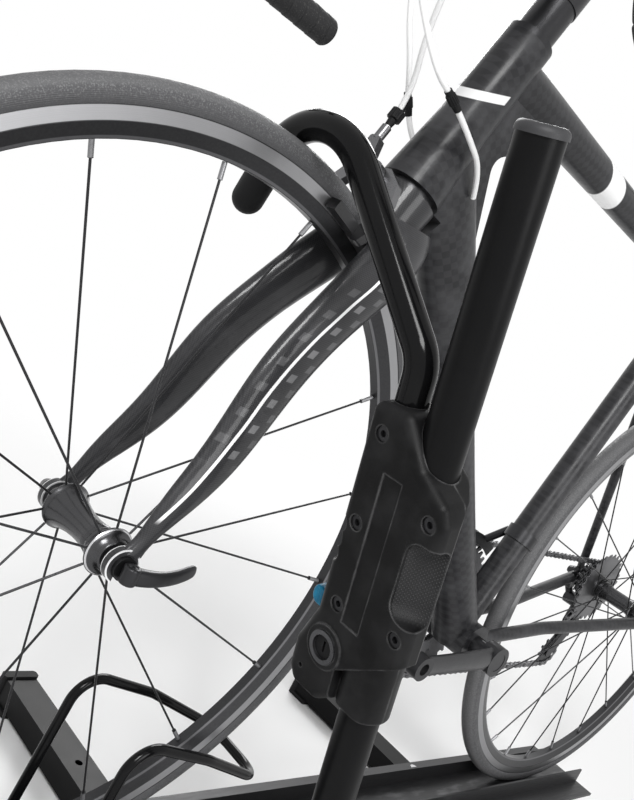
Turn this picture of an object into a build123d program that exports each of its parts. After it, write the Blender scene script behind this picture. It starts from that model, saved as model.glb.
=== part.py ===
from build123d import *
import os
from math import atan2, cos, degrees, pi, radians, sin, sqrt, tan

# A road bicycle held on a floor stand by a ratcheting wheel hook.
# Millimetres, +Z up, floor at Z = 0. The bicycle faces -X and its left side is -Y.
# The origin lies on the floor, half way between the two wheel axles.

# Fits
SEAT_GAP = 0.05          # radial gap of running fits and of pieces pushed together
CLEAR = 0.35             # gap between curved faces of bodies that move past each other
HOOK_CLEAR = 1.0         # hook tube over the tyre

# Bicycle geometry
WHEELBASE = 989.0
BB_BACK = 585.0          # bottom bracket behind the front axle
BB_DROP = 70.0
HEAD_ANGLE = 72.0
FORK_RAKE = 45.0
FORK_ROOM = 41.0         # crown race above the front tyre, along the fork
HEAD_LENGTH = 165.0
SEAT_ANGLE = 73.5
SEAT_TUBE_LENGTH = 575.0
TOP_TUBE_HEAD = 26.0     # top tube axis below the head tube's upper end
TOP_TUBE_SEAT = 44.0     # and below the seat tube's upper end
HUB_WIDTH_FRONT = 100.0
HUB_WIDTH_REAR = 130.0

# Wheels
TYRE_RISE = 17.5         # tyre past the rim
TYRE_WIDTH = 23.0
TYRE_WALL = 2.2
RIM_R = 316.5
RIM_DEPTH = 22.7
RIM_WIDTH = 19.0
RIM_WALL = 1.6
TRACK_DEPTH = 10.8
SPOKE_R = 1.0
NIPPLE_R = 2.0
NIPPLE_LENGTH = 13.0
FRONT_SPOKES = 18
FRONT_SPOKE_PHASE = 15.2
REAR_SPOKES = 24
FLANGE_R = 20.0
FLANGE_Y = 35.0
FLANGE_THICK = 3.0
HUB_WAIST_R = 12.0
HUB_AXLE_R = 6.0
LOCKNUT_R = 9.5
LOCKNUT_THICK = 5.0
DROPOUT_THICK = 7.0
AXLE_STUB_R = 4.5
QR_LENGTH = 62.0
QR_BOSS_R = 6.5
REAR_FLANGE_LEFT = -36.0
REAR_FLANGE_RIGHT = 19.0
SPOKE_LEAN = 62.0        # turn between a rear spoke's two ends
CASSETTE_FROM = 27.0
CASSETTE_CORE_R = 17.0
COG_RADII = (58, 54, 46.5, 41, 0, 30, 27.5, 25)  # 0 stands for the cog in use

# Frame tubes, half sizes
HEAD_R_LOW = 29.0
HEAD_R_TOP = 23.0
STEERER_R = 14.3
RACE_THICK = 6.0
TOP_TUBE_R = 18.0
DOWN_TUBE_R = 26.0
SEAT_TUBE_R = 17.0
SEATPOST_R = 13.6
BB_SHELL_R = 24.0
BB_SHELL_WIDTH = 68.0
SPINDLE_R = 12.0
CHAINSTAY_R = 8.5
SEATSTAY_R = 7.5
TUBE_WALL = 2.5
HEAD_WALL = 5.7
DOWN_TUBE_FOOT = 46.0    # down tube axis above the lower end of the head tube
TOP_TUBE_EXTRA = ((2, 4), (0, 0), (-2, -3))
DOWN_TUBE_EXTRA = ((-3, 10), (0, 0), (3, 3))
DOWN_TUBE_BORE = (0.12, 0.94)
GUSSET_HALF = 12.0       # web between the head, top and down tubes
GUSSET_TOP = 130.0       # its reach along the top tube, from the steering axis
GUSSET_DOWN = 174.0      # and along the down tube
GUSSET_UP = 85.0         # its hollow edge, above the crown race
GUSSET_BACK = 44.0       # and behind the steering axis
GUSSET_ROUND = 14.0
CROWN_ROOM = 11.0        # room behind the fork crown, under the head tube
CROWN_DEPTH = 46.0
FORK_TOP_Y = 20.0        # fork leg axis at the crown, from the middle plane
FORK_DROPOUT_R = 14.0
TYRE_SIDE_ROOM = 5.5
TYRE_TOP_ROOM = 8.0
SEATSTAY_TOP = 30.0      # below the top of the seat tube
STAY_TOP_Y = 20.0
STAY_FOOT = 36.0         # seat stay's lower end, from the axle
BRIDGE_ROOM = 26.0       # brake bridge axis above the rear tyre
BRIDGE_TUBE_R = 9.0
DROPOUT_R = 17.0
STAY_ROOT_Y = 24.0       # chain stay axis at the bottom bracket
STAY_BEND_Y = 31.0       # and at its bend
STAY_BEND_R = 160.0

# Brakes
CALIPER_DROP = 12.0
CALIPER_FORWARD = 33.0
ARM_THICK = 8.0
ARM_GAP = 0.5
ARM_HUB_R = 9.0
BRAKE_BOLT_R = 4.0
BRAKE_BOLT_END = 3.0
PAD_GAP = 1.6
PAD_HALF = 4.4
SHOE_BACK_FRONT = 3.0    # shoe behind the arm's plane
SHOE_BACK_REAR = 29.0
SHOE_LENGTH = 42.0
HORN_X = 21.5            # cable adjuster beside the caliper's middle
HORN_TOP = 42.0
HORN_R = 4.5

# Cockpit and saddle
STEM_LENGTH = 100.0
STEM_R = 15.0
BAR_R = 12.0
BAR_CLAMP_R = 15.9
BAR_WIDTH = 410.0
BAR_REACH = 88.0
BAR_DROP = 128.0
TAPE_WALL = 2.5
TAPE_SHARE = 0.62        # how far the tape reaches up the drop
BAR_WALL = 2.0
SPACER_HEIGHT = 40.0
STEM_HEIGHT = 40.0
STEM_WALL = 5.0
STEM_CAP = 5.0
BAR_RADII = [48, 42, 42]
HOOD_FRONT = -152.0
LEVER_LENGTH = 105.0
LEVER_PIVOT_R = 3.0
LEVER_PIVOT_Z = 10.0
LEVER_EYE_R = 8.0
LEVER_HALF = 5.5
CABLE_R = 2.5
CABLE_Y = 76.0           # where the housings leave the handlebar
INNER_CABLE_Y = 62.0
POST_INSERT = 120.0
POST_BORE_FROM = 150.0
POST_HEAD_R = 11.0
RAIL_R = 3.5
RAIL_Y = 20.0
POST_RISE = 150.0
SADDLE_LENGTH = 270.0
SADDLE_WIDTH = 136.0

# Drive
CHAIN_PITCH = 12.7
RING_TEETH = 50
INNER_RING_TEETH = 34
COG_TEETH = 17
CRANK_LENGTH = 172.5
CHAIN_Y = 46.0
RING_THICK = 2.0
COG_STEP = 4.0
CHAIN_HALF_HEIGHT = 4.2
CHAIN_PLATE = 1.6
CHAIN_SIDE_GAP = 0.2
PEDAL_HOLE_R = 7.0
PULLEY_TEETH = 11
TOOTH = 3.2
INNER_RING_STEP = 6.2
CRANK_ROOT_Y = 62.0
CRANK_TIP_Y = 78.0
CRANK_HUB_R = 19.0
CRANK_HUB_HALF = 10.0
CRANK_EYE_R = 14.0
CRANK_EYE_HALF = 6.5
SPIDER_R = 55.0
SPIDER_ARMS = 5
RING_HOLE_R = 50.0
RING_BOLT_R = 4.0
RING_BOLT_HEAD_R = 5.5
RING_BOLT_HEAD = 1.6
CAGE_GAP = 0.4
CAGE_PLATE = 1.6
CAGE_PIN_R = 3.0
GUIDE_X = 14.0           # jockey wheels, from the rear axle
GUIDE_Z = -76.0
TENSION_X = -16.0
TENSION_Z = -128.0

# Stand base
FOOT_PAD = 6.0
BAR_HEIGHT = 30.0
FOOT_BAR_WIDTH = 40.0
FOOT_BAR_LENGTH = 560.0
FOOT_BAR_WALL = 2.0
FLOOR_HOLE_R = 4.5
FLOOR_HOLE_Y = 130.0
TRAY_THICK = 4.0
TRAY_WIDTH = 124.0
TRAY_GROOVE = 54.0
TRAY_RIB = 22.0
TRAY_RIB_THICK = 3.0
TRAY_OVERHANG = 170.0
TRAY_BOLT_R = 4.0
TRAY_BOLT_Y = 46.0
BOLT_HEAD_R = 6.5
BOLT_HEAD = 5.0
NUT_HEIGHT = 6.0
CAP_WALL = 3.0           # foot cap round the bar's end
CAP_END = 12.0
CAP_PAD = 26.0
CAP_PLUG = 18.0
HOOP_R = 5.0
HOOP_HALF_WIDTH = 50.0

# Mast, ratchet carriage and hook, in the mast's own frame:
# origin at the foot pivot, Z along the mast, Y towards the wheel
MAST_LEAN = 16.7
MAST_BACK = 227.9        # foot pivot behind the front axle
MAST_SIDE = 200.0        # mast axis left of the wheel's plane
MAST_PIVOT_Z = 76.4
MAST_R = 16.0
MAST_WALL = 3.5
MAST_TOP = 709.0
MAST_TAIL = 22.0
CAP_HEIGHT = 7.0
CAP_ROUND = 5.0
PIVOT_R = 5.0
PIVOT_HEAD_R = 8.5
PIVOT_HEAD = 6.0
BRACKET_BASE = 5.0
BRACKET_HALF = 22.0
BRACKET_BOLT_Y = 29.0
CHEEK = 4.0
CHEEK_GAP = 1.0
CAP_RIM = 1.2
STRIP_WIDTH = 6.0
STRIP_PITCH = 6.0
STRIP_TIP = 0.5          # tooth tips below the mast's surface
STRIP_ROOT = 1.8         # strip's face between the teeth, below the mast's surface
STRIP_FROM = 230.0
STRIP_END_ROOM = 12.0    # bare mast above the strip
STRIP_SEAT = 2.5         # depth of the strip's seat in the mast's wall
HOOK_R = 12.2
HOOK_WALL = 2.0
HOOK_OFFSET = 36.5       # hook tube axis from the mast axis
HOOK_FOOT = 402.0        # lower end of the hook tube
HOOK_BEND_R = 62.0
HOOK_RISE_ANGLE = 45.7
HOOK_FALL_ANGLE = 62.0
HOOK_TIP_LENGTH = 44.0
HOOK_APEX_SHIFT = 15.8   # apex of the hook's bend, short of the wheel's plane
HOOK_LIFT = 4.0          # rise of the apex for the bend's fall towards the wheel's plane
HOOK_LOW_BEND_R = 32.0
SLEEVE_WALL = 1.2
BODY_HALF = 23.0
BODY_EDGE = 8.0
BODY_FOOT = 292.0
BODY_TOP = 522.0
LOBE_FOOT = 281.0        # lower end of the bulge that holds the lock
BODY_BACK_R = 59.0       # round of the rear edge away from the wheel
BODY_BACK_X = -32.2      # and its middle, from the mast axis
BODY_BACK_Y = 16.8
BODY_NEAR_Y = 36.0       # body's flank away from the wheel, from the mast axis
COLLAR_R = 21.0
COLLAR_SIDE = 17.0       # where the collar meets the lock's bulge
LIP_Z = 331.0            # lip over the collar, in front of the mast
LIP_SLOPE = -0.72
SCOOP_X = -35.0
SCOOP_Y = -43.0
SCOOP_R = 33.0
SCOOP_Z = (386.0, 447.0)
SCOOP_ROUND = 12.0
SCALLOP_R = 7.0
SCALLOP_Y = 50.5
SCALLOPS = (400.0, 412.0, 424.0)
SCALLOP_X = -14.0
PEEP_Y = 50.0            # small round hole beside the lock
PEEP_Z = 300.0
PEEP_R = 2.0
PEEP_X = -14.0
PLATE_Y = (6.0, 24.0)    # sunk panel on the front face
PLATE_Z = (356.0, 476.0)
PLATE_DEPTH = 1.0
SCREW_HEAD_R = 5.5
SCREW_R = 2.5
LOCK_Y = 32.0
LOCK_Z = 329.0
LOCK_R = 13.0
PLUG_R = 9.4
LOCK_FACE = -26.0
LOCK_END = 2.0
LOCK_FLOOR = 2.0
LOCK_BOSS = 4.5
LOCK_BOSS_FACE = 1.5
PLUG_SINK = 2.5
SCREWS = ((35.0, 500.0), (35.6, 431.0), (31.8, 366.0), (-23.7, 462.5), (-24.8, 374.0))
SCREW_SINK = 1.5
SCREW_HEAD = 4.0
SCREW_HEAD_GAP = 0.3
SCREW_END = 14.0         # inner end of the screws through the hook tube
NEAR_SCREW_END = 4.0     # and of the screws on the side away from the wheel
CAVITY_Z = (346.0, 394.0)
CAVITY_X = (-14.0, 9.0)
CAVITY_Y = 44.0
LEVER_PIN_R = 2.0
LEVER_PIN_X = (-16.5, 3.5)
LEVER_Y = 46.0
LEVER_Z = 365.0
LEVER_X = (-12.5, -1.5)
LEVER_REACH = 21.0
LEVER_TALL = 8.0
TAB_DROP = 12.0          # thumb tab's middle below the lever's pin
TAB_FROM = 5.0           # and its inner face outside the pin
MOUTH_SIDE = 0.6
MOUTH_TALL = 13.0
MOUTH_TOP = 8.0
PAWL_HALF = 5.0
PAWL_GAP = 0.4
SPRING_R = 3.0
SPRING_FROM = 31.0
SPRING_DROP = 6.0

# Worked out
FRONT_X = -WHEELBASE / 2
TYRE_R = RIM_R + TYRE_RISE
FORK_LENGTH = TYRE_R + FORK_ROOM
TRAY_Z = FOOT_PAD + BAR_HEIGHT
TRAY_TOP = TRAY_Z + TRAY_THICK
AXLE_Z = TRAY_TOP + CLEAR + TYRE_R
SPACER_FOOT = HEAD_LENGTH + 2 * RACE_THICK + SEAT_GAP
STEM_FOOT = SPACER_FOOT + SPACER_HEIGHT
STEERER_TOP = STEM_FOOT + STEM_HEIGHT - 2
STAY_LOW_Y = HUB_WIDTH_REAR / 2 + DROPOUT_THICK / 2
BRIDGE_R = TYRE_R + BRIDGE_ROOM
BAR_X = WHEELBASE / 2 - MAST_BACK
PARTS = {}


def keep(name, *solids):
    """Store a node's solids under its name."""
    PARTS[name] = list(solids)


def at(x, y, z):
    """A point given from the front axle."""
    return Vector(FRONT_X + x, y, AXLE_Z + z)


def rod(a, b, r, r_end=None):
    """A round bar, or a cone, from point a to point b."""
    a, b = Vector(a), Vector(b)
    plane = Plane(origin=a, z_dir=b - a)
    length = (b - a).length
    if r_end is None:
        return Solid.make_cylinder(r, length, plane)
    return Solid.make_cone(r, r_end, length, plane)


def box(low, high):
    """A box between two corners."""
    low, high = Vector(low), Vector(high)
    size = high - low
    centre = (low + high) * 0.5
    return Pos(*centre) * Box(size.X, size.Y, size.Z)


def bent_bar(points, radii, r, bore=0):
    """A round bar along straight runs joined by arcs."""
    path = FilletPolyline(*points, radius=radii)
    start = Plane(origin=path @ 0, z_dir=path % 0)
    section = Circle(r) - Circle(bore) if bore else Circle(r)
    return sweep(start * section, path=path)


def turned(points, centre):
    """A solid of revolution about the Y axis; points are (y, radius)."""
    outline = Polyline(*[(r, y) for y, r in points], close=True)
    return Pos(*centre) * revolve(make_face(outline), Axis.Y)


def lofted(sections):
    """A loft through ellipses given as (plane, half width, half height)."""
    return loft([plane * Ellipse(a, b) for plane, a, b in sections])


def slab(plane, points, thickness, radius=None):
    """A plate with the outline of points, from the plane along its normal."""
    if radius:
        outline = FilletPolyline(*points, radius=radius, close=True)
    else:
        outline = Polyline(*points, close=True)
    return extrude(plane * make_face(outline), thickness)


# Main axes of the bicycle
front_axle = at(0, 0, 0)
rear_axle = at(WHEELBASE, 0, 0)
bb = at(BB_BACK, 0, -BB_DROP)
steer_up = Vector(cos(radians(HEAD_ANGLE)), 0, sin(radians(HEAD_ANGLE)))
steer_front = Vector(-steer_up.Z, 0, steer_up.X)
fork_drop = sqrt(FORK_LENGTH**2 - FORK_RAKE**2)
crown = front_axle - steer_front * FORK_RAKE + steer_up * fork_drop
seat_up = Vector(cos(radians(SEAT_ANGLE)), 0, sin(radians(SEAT_ANGLE)))
seat_top = bb + seat_up * SEAT_TUBE_LENGTH


def on_steerer(height):
    """A point on the steering axis, above the crown race."""
    return crown + steer_up * height


def pitch_radius(teeth):
    return CHAIN_PITCH / (2 * sin(pi / teeth))


LEFT = -1 if steer_up.cross(steer_front).Y > 0 else 1
stem_root = on_steerer(STEM_FOOT + STEM_HEIGHT / 2)
bar_centre = stem_root + steer_front * STEM_LENGTH
stay_top = seat_top - seat_up * SEATSTAY_TOP
stay_dir = (stay_top - rear_axle).normalized()
stay_back = Vector(stay_dir.Z, 0, -stay_dir.X)
guide = rear_axle + Vector(GUIDE_X, 0, GUIDE_Z)
tension = rear_axle + Vector(TENSION_X, 0, TENSION_Z)
ring_r = pitch_radius(RING_TEETH)
cog_r = pitch_radius(COG_TEETH)
pulley_r = pitch_radius(PULLEY_TEETH)

# The mast's own frame, and the wheel and hook in it
mast_foot = Vector(FRONT_X + MAST_BACK, -MAST_SIDE, MAST_PIVOT_Z)
mast_place = Location(tuple(mast_foot)) * Rotation(0, -MAST_LEAN, 0)
lean = radians(MAST_LEAN)
wheel_back = MAST_BACK * cos(lean) - (AXLE_Z - MAST_PIVOT_Z) * sin(lean)
wheel_up = MAST_BACK * sin(lean) + (AXLE_Z - MAST_PIVOT_Z) * cos(lean)
strip_teeth = int((MAST_TOP - STRIP_END_ROOM - STRIP_FROM) / STRIP_PITCH)
hook_top = wheel_up + sqrt((TYRE_R + HOOK_R + HOOK_CLEAR)**2 - wheel_back**2) + HOOK_LIFT


# Wheels
def tyre(centre):
    """A tyre of round section, open to the rim."""
    half = TYRE_WIDTH / 2
    middle = Pos(TYRE_R - half, 0)
    inside = Pos(RIM_R + SEAT_GAP - TYRE_WIDTH, 0) * Rectangle(2 * TYRE_WIDTH, 2 * TYRE_WIDTH)
    section = middle * Circle(half) - middle * Circle(half - TYRE_WALL) - inside
    return Pos(*centre) * revolve(section, Axis.Y)


def rim(centre):
    """A rim of channel section with flat brake tracks."""
    half = RIM_WIDTH / 2
    nose = half * 0.5
    track = RIM_R - TRACK_DEPTH
    inner = RIM_R - RIM_DEPTH
    outside = [(half, RIM_R), (half, track), (nose, inner)]
    inside = [(nose - RIM_WALL / 2, inner + RIM_WALL), (half - RIM_WALL, track), (half - RIM_WALL, RIM_R)]
    right = outside + [(-y, r) for y, r in reversed(outside)]
    back = [(-y, r) for y, r in reversed(inside)]
    return turned(right + back + inside, centre)


def spoke(centre, rim_angle, hub_angle, hub_r, hub_y, rim_y):
    """One spoke with its nipple, from the hub flange to the rim."""
    def polar(r, y, angle):
        return centre + Vector(r * cos(radians(angle)), y, r * sin(radians(angle)))
    outer = polar(RIM_R - RIM_DEPTH - CLEAR, rim_y, rim_angle)
    inner = polar(hub_r, hub_y, hub_angle)
    along = (inner - outer).normalized()
    return rod(inner, outer, SPOKE_R) + rod(outer, outer + along * NIPPLE_LENGTH, NIPPLE_R)


def front_spokes():
    """Radial spokes, in turn from the left and the right flange."""
    step = 360 / FRONT_SPOKES
    result = []
    for k in range(FRONT_SPOKES):
        side = -1 if k % 2 == 0 else 1
        angle = FRONT_SPOKE_PHASE + k * step
        result.append(spoke(front_axle, angle, angle, FLANGE_R + CLEAR, side * FLANGE_Y, side * 1.5))
    return result


def hub(centre, flanges, flange_r, ends):
    """A hub shell with two flanges, bored for its axle."""
    bore = HUB_AXLE_R + SEAT_GAP
    left, right = flanges
    low, high = ends
    half = FLANGE_THICK / 2
    barrel = HUB_WAIST_R + 2
    points = [(low, bore), (low, barrel), (left - half, barrel), (left - half, flange_r),
              (left + half, flange_r), (left + half, barrel), (left + 12, HUB_WAIST_R),
              (right - 12, HUB_WAIST_R), (right - half, barrel), (right - half, flange_r),
              (right + half, flange_r), (right + half, barrel), (high, barrel), (high, bore)]
    return turned(points, centre)


def axle(centre, width):
    """A hollow axle with locknuts, its skewer, cam cup and skewer nut."""
    half = width / 2
    out = half + DROPOUT_THICK
    nut = LOCKNUT_THICK
    points = [(-out - 4, 0), (-out - 4, LOCKNUT_R), (-out - 0.3, LOCKNUT_R), (-out - 0.3, 2.5),
              (-half - 4, 2.5), (-half - 4, AXLE_STUB_R), (-half, AXLE_STUB_R), (-half, LOCKNUT_R),
              (-half + nut, LOCKNUT_R), (-half + nut, HUB_AXLE_R), (half - nut, HUB_AXLE_R),
              (half - nut, LOCKNUT_R), (half, LOCKNUT_R), (half, AXLE_STUB_R), (half + 4, AXLE_STUB_R),
              (half + 4, 2.5), (out + 0.3, 2.5), (out + 0.3, LOCKNUT_R), (out + 8, LOCKNUT_R - 1),
              (out + 15, 5.5), (out + 15, 0)]
    return turned(points, centre)


def qr_lever(centre, width):
    """A quick-release lever, closed and pointing rearwards on the left side."""
    y = -width / 2 - DROPOUT_THICK - 4 - CLEAR - QR_BOSS_R
    pivot = centre + Vector(0, y, 0)
    boss = rod(pivot - Vector(0, 0, 6.5), pivot + Vector(0, 0, 6.5), QR_BOSS_R)
    plane = Plane(origin=pivot, x_dir=(0, 1, 0), z_dir=(1, 0, 0))
    sections = []
    for along, out, wide, thick in ((2, 0, 6, 5), (22, -1.5, 5.5, 3.4), (44, -0.5, 6.5, 3.2),
                                    (QR_LENGTH, 2.5, 5, 2.4)):
        sections.append((plane.offset(along).move(Location((0, out, 0))), thick, wide))
    return boss + lofted(sections)


def front_wheel():
    keep("front_tyre", tyre(front_axle))
    keep("front_rim", rim(front_axle))
    keep("front_spokes", *front_spokes())
    end = HUB_WIDTH_FRONT / 2 - LOCKNUT_THICK - CLEAR
    keep("front_hub", hub(front_axle, (-FLANGE_Y, FLANGE_Y), FLANGE_R, (-end, end)))
    keep("front_axle", axle(front_axle, HUB_WIDTH_FRONT))
    keep("front_qr_lever", qr_lever(front_axle, HUB_WIDTH_FRONT))


def rear_spokes():
    """Crossed spokes, leaning in pairs on either face of each flange."""
    step = 360 / REAR_SPOKES
    result = []
    for k in range(REAR_SPOKES):
        flange = (REAR_FLANGE_LEFT, REAR_FLANGE_RIGHT)[k % 2]
        lean = 1 if (k // 2) % 2 == 0 else -1
        angle = k * step
        y = flange + lean * (FLANGE_THICK / 2 + SPOKE_R + 2 * CLEAR)
        result.append(spoke(rear_axle, angle, angle + lean * SPOKE_LEAN, FLANGE_R - 2, y, 0))
    return result


def rear_wheel():
    keep("rear_tyre", tyre(rear_axle))
    keep("rear_rim", rim(rear_axle))
    keep("rear_spokes", *rear_spokes())
    end = HUB_WIDTH_REAR / 2 - LOCKNUT_THICK - CLEAR
    flanges = (REAR_FLANGE_LEFT, REAR_FLANGE_RIGHT)
    keep("rear_hub", hub(rear_axle, flanges, FLANGE_R, (-end, CASSETTE_FROM - 1.5)))
    keep("rear_axle", axle(rear_axle, HUB_WIDTH_REAR))
    keep("rear_qr_lever", qr_lever(rear_axle, HUB_WIDTH_REAR))
    keep("cassette", cassette())


def cassette():
    """A stack of cogs on one carrier, bored for the axle."""
    bore = HUB_AXLE_R + SEAT_GAP
    driven = pitch_radius(COG_TEETH) - 0.5
    core = CASSETTE_CORE_R
    points = [(CASSETTE_FROM, bore), (CASSETTE_FROM, core)]
    first = CHAIN_Y - COG_STEP * COG_RADII.index(0)
    for k, radius in enumerate(COG_RADII):
        middle = first + k * COG_STEP
        half = RING_THICK / 2 - 0.1
        top = radius if radius else driven
        points += [(middle - half, core), (middle - half, top), (middle + half, top), (middle + half, core)]
    end = HUB_WIDTH_REAR / 2 - LOCKNUT_THICK - CLEAR
    points += [(end, core), (end, bore)]
    return turned(points, rear_axle)


# Fork and steering
def fork_leg(side):
    """One wavy fork leg, lofted through level ellipses from dropout to crown."""
    stations = ((0.024, 0.022, 11.5, 1, 4.5), (0.118, 0.133, 12.5, 0.955, 6.5),
                (0.223, 0.26, 19.5, 0.866, 8.5), (0.356, 0.374, 22.8, 0.761, 9.5),
                (0.464, 0.447, 25, 0.687, 10.5), (0.573, 0.551, 27, 0.597, 11.5),
                (0.691, 0.709, 30, 0.478, 12.5), (0.811, 0.88, 33, 0.328, 13.5), (0.935, 0.969, 31, 0, 14))
    rise, back = crown.Z - AXLE_Z, crown.X - FRONT_X
    spread = HUB_WIDTH_FRONT / 2 + DROPOUT_THICK / 2 - FORK_TOP_Y
    sections = []
    for up, behind, half_chord, out, half_thick in stations:
        centre = at(back * behind, side * (FORK_TOP_Y + spread * out), rise * up)
        plane = Plane(origin=centre, x_dir=(1, 0, 0), z_dir=(0, 0, 1))
        sections.append((plane, half_chord, half_thick))
    return lofted(sections)


def dropout(centre, side, width, r):
    """A dropout plate with an axle slot that opens downwards."""
    y = side * (width / 2 + DROPOUT_THICK / 2)
    half = DROPOUT_THICK / 2
    return rod(centre + Vector(0, y - half, 0), centre + Vector(0, y + half, 0), r)


def axle_slot(centre, width):
    """The space that the axle ends and skewer take in both dropouts."""
    half = width / 2
    out = half + DROPOUT_THICK + 30
    stub = AXLE_STUB_R + SEAT_GAP
    bore = rod(centre - Vector(0, out, 0), centre + Vector(0, out, 0), stub)
    mouth = box(centre + Vector(-stub, -out, -40), centre + Vector(stub, out, 0))
    hollow = rod(centre - Vector(0, half, 0), centre + Vector(0, half, 0), FLANGE_R)
    return bore + mouth + hollow


def fork():
    slot = axle_slot(front_axle, HUB_WIDTH_FRONT)
    body = None
    for side in (-1, 1):
        leg = fork_leg(side) + dropout(front_axle, side, HUB_WIDTH_FRONT, FORK_DROPOUT_R)
        leg = leg - slot
        seat_face = HUB_WIDTH_FRONT / 2 + DROPOUT_THICK
        outer = rod(front_axle + Vector(0, side * seat_face, 0),
                    front_axle + Vector(0, side * (seat_face + 20), 0), LOCKNUT_R + 1)
        leg = leg - outer
        body = leg if body is None else body + leg
    head = rod(on_steerer(-CROWN_DEPTH), on_steerer(0), HEAD_R_LOW - 2, HEAD_R_LOW)
    reach = CALIPER_FORWARD + 2 * ARM_THICK + ARM_GAP + BRAKE_BOLT_END
    bolt_foot = on_steerer(-CALIPER_DROP)
    bolt = rod(bolt_foot, bolt_foot + steer_front * reach, BRAKE_BOLT_R)
    seat = rod(bolt_foot, bolt_foot + steer_front * (CALIPER_FORWARD - CLEAR), ARM_HUB_R + 1)
    half = TYRE_WIDTH / 2 + TYRE_SIDE_ROOM
    tyre_room = rod(front_axle - Vector(0, half, 0), front_axle + Vector(0, half, 0), TYRE_R + TYRE_TOP_ROOM)
    body = body + head - tyre_room
    steerer = rod(on_steerer(-1), on_steerer(STEERER_TOP), STEERER_R)
    return body + seat + bolt + steerer


def stem():
    """Spacers and stem in one clamp, from the headset to the bar clamp."""
    spacer = rod(on_steerer(SPACER_FOOT), on_steerer(STEM_FOOT), STEERER_R + STEM_WALL - 1)
    clamp = rod(on_steerer(STEM_FOOT), on_steerer(STEM_FOOT + STEM_HEIGHT), STEERER_R + STEM_WALL)
    top = STEM_FOOT + STEM_HEIGHT
    cap = rod(on_steerer(top), on_steerer(top + STEM_CAP), STEERER_R + STEM_WALL - 1)
    arm = rod(stem_root, bar_centre, STEM_R + 2, STEM_R)
    barrel = rod(bar_centre - Vector(0, 22, 0), bar_centre + Vector(0, 22, 0), BAR_CLAMP_R + STEM_WALL - 0.5)
    inside = rod(on_steerer(0), on_steerer(STEERER_TOP + SEAT_GAP), STEERER_R + SEAT_GAP)
    bar_bore = rod(bar_centre - Vector(0, 40, 0), bar_centre + Vector(0, 40, 0), BAR_CLAMP_R + SEAT_GAP)
    return spacer + clamp + cap + arm + barrel - inside - bar_bore


def bar_point(x, y, z):
    """A point given from the middle of the handlebar."""
    return bar_centre + Vector(x, y, z)


def bar_drop_points(side):
    """The drop of the handlebar, from its open end up to the tops."""
    y = side * BAR_WIDTH / 2
    return [bar_point(35, y, -BAR_DROP - 4), bar_point(-BAR_REACH + 4, y, -BAR_DROP),
            bar_point(-BAR_REACH, y, -8), bar_point(0, y, 0)]


def handlebar():
    left = bar_drop_points(-1)
    right = bar_drop_points(1)
    bar = bent_bar(left + right[::-1], BAR_RADII + BAR_RADII[::-1], BAR_R, BAR_R - BAR_WALL)
    sleeve = rod(bar_point(0, -35, 0), bar_point(0, 35, 0), BAR_CLAMP_R)
    return bar + sleeve


def bar_tape(side):
    """Wrapped grip round the drop, from the bar end to the brake hood."""
    points = bar_drop_points(side)[:3]
    last = points[1] + (points[2] - points[1]) * TAPE_SHARE
    return bent_bar([points[0], points[1], last], BAR_RADII[:1], BAR_R + TAPE_WALL, BAR_R + SEAT_GAP)


def hood(side, bar):
    """Brake hood that sits over the forward bend of the handlebar."""
    y = side * BAR_WIDTH / 2
    sections = []
    for x, z, wide, tall in ((-52, 4, 15.5, 16), (-85, 4, 16, 19), (-118, 8, 15, 17),
                             (-140, 18, 14, 21), (HOOD_FRONT, 20, 11, 20)):
        plane = Plane(origin=bar_point(x, y, z), x_dir=(0, 1, 0), z_dir=(-1, 0, 0))
        sections.append((plane, wide, tall))
    slot = box(bar_point(HOOD_FRONT - 5, y - 7, -40), bar_point(HOOD_FRONT + 22, y + 7, 24))
    pin = rod(lever_pivot(side) - Vector(0, 12, 0), lever_pivot(side) + Vector(0, 12, 0), LEVER_PIVOT_R)
    return lofted(sections) - bar - slot + pin


def lever_pivot(side):
    return bar_point(HOOD_FRONT + 10, side * BAR_WIDTH / 2, LEVER_PIVOT_Z)


def brake_lever(side):
    """A brake lever blade that hangs from its pivot in the hood."""
    pivot = lever_pivot(side)
    eye = rod(pivot - Vector(0, LEVER_HALF, 0), pivot + Vector(0, LEVER_HALF, 0), LEVER_EYE_R)
    sections = []
    for x, z, wide, thick in ((0, 0, LEVER_HALF, 7), (-8, -30, 7, 6), (-4, -68, 8.5, 4.5),
                             (6, -LEVER_LENGTH, 7, 3.5)):
        plane = Plane(origin=pivot + Vector(x, 0, z), x_dir=(0, 1, 0), z_dir=(0, 0, -1))
        sections.append((plane, wide, thick))
    hole = rod(pivot - Vector(0, 20, 0), pivot + Vector(0, 20, 0), LEVER_PIVOT_R + SEAT_GAP)
    return eye + lofted(sections) - hole


# Brakes
def brake_frame(pivot, up, forward):
    """Plane of a brake caliper: X to the bicycle's right, Y along up."""
    right = up.cross(forward)
    return Plane(origin=pivot, x_dir=right, z_dir=forward)


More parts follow.
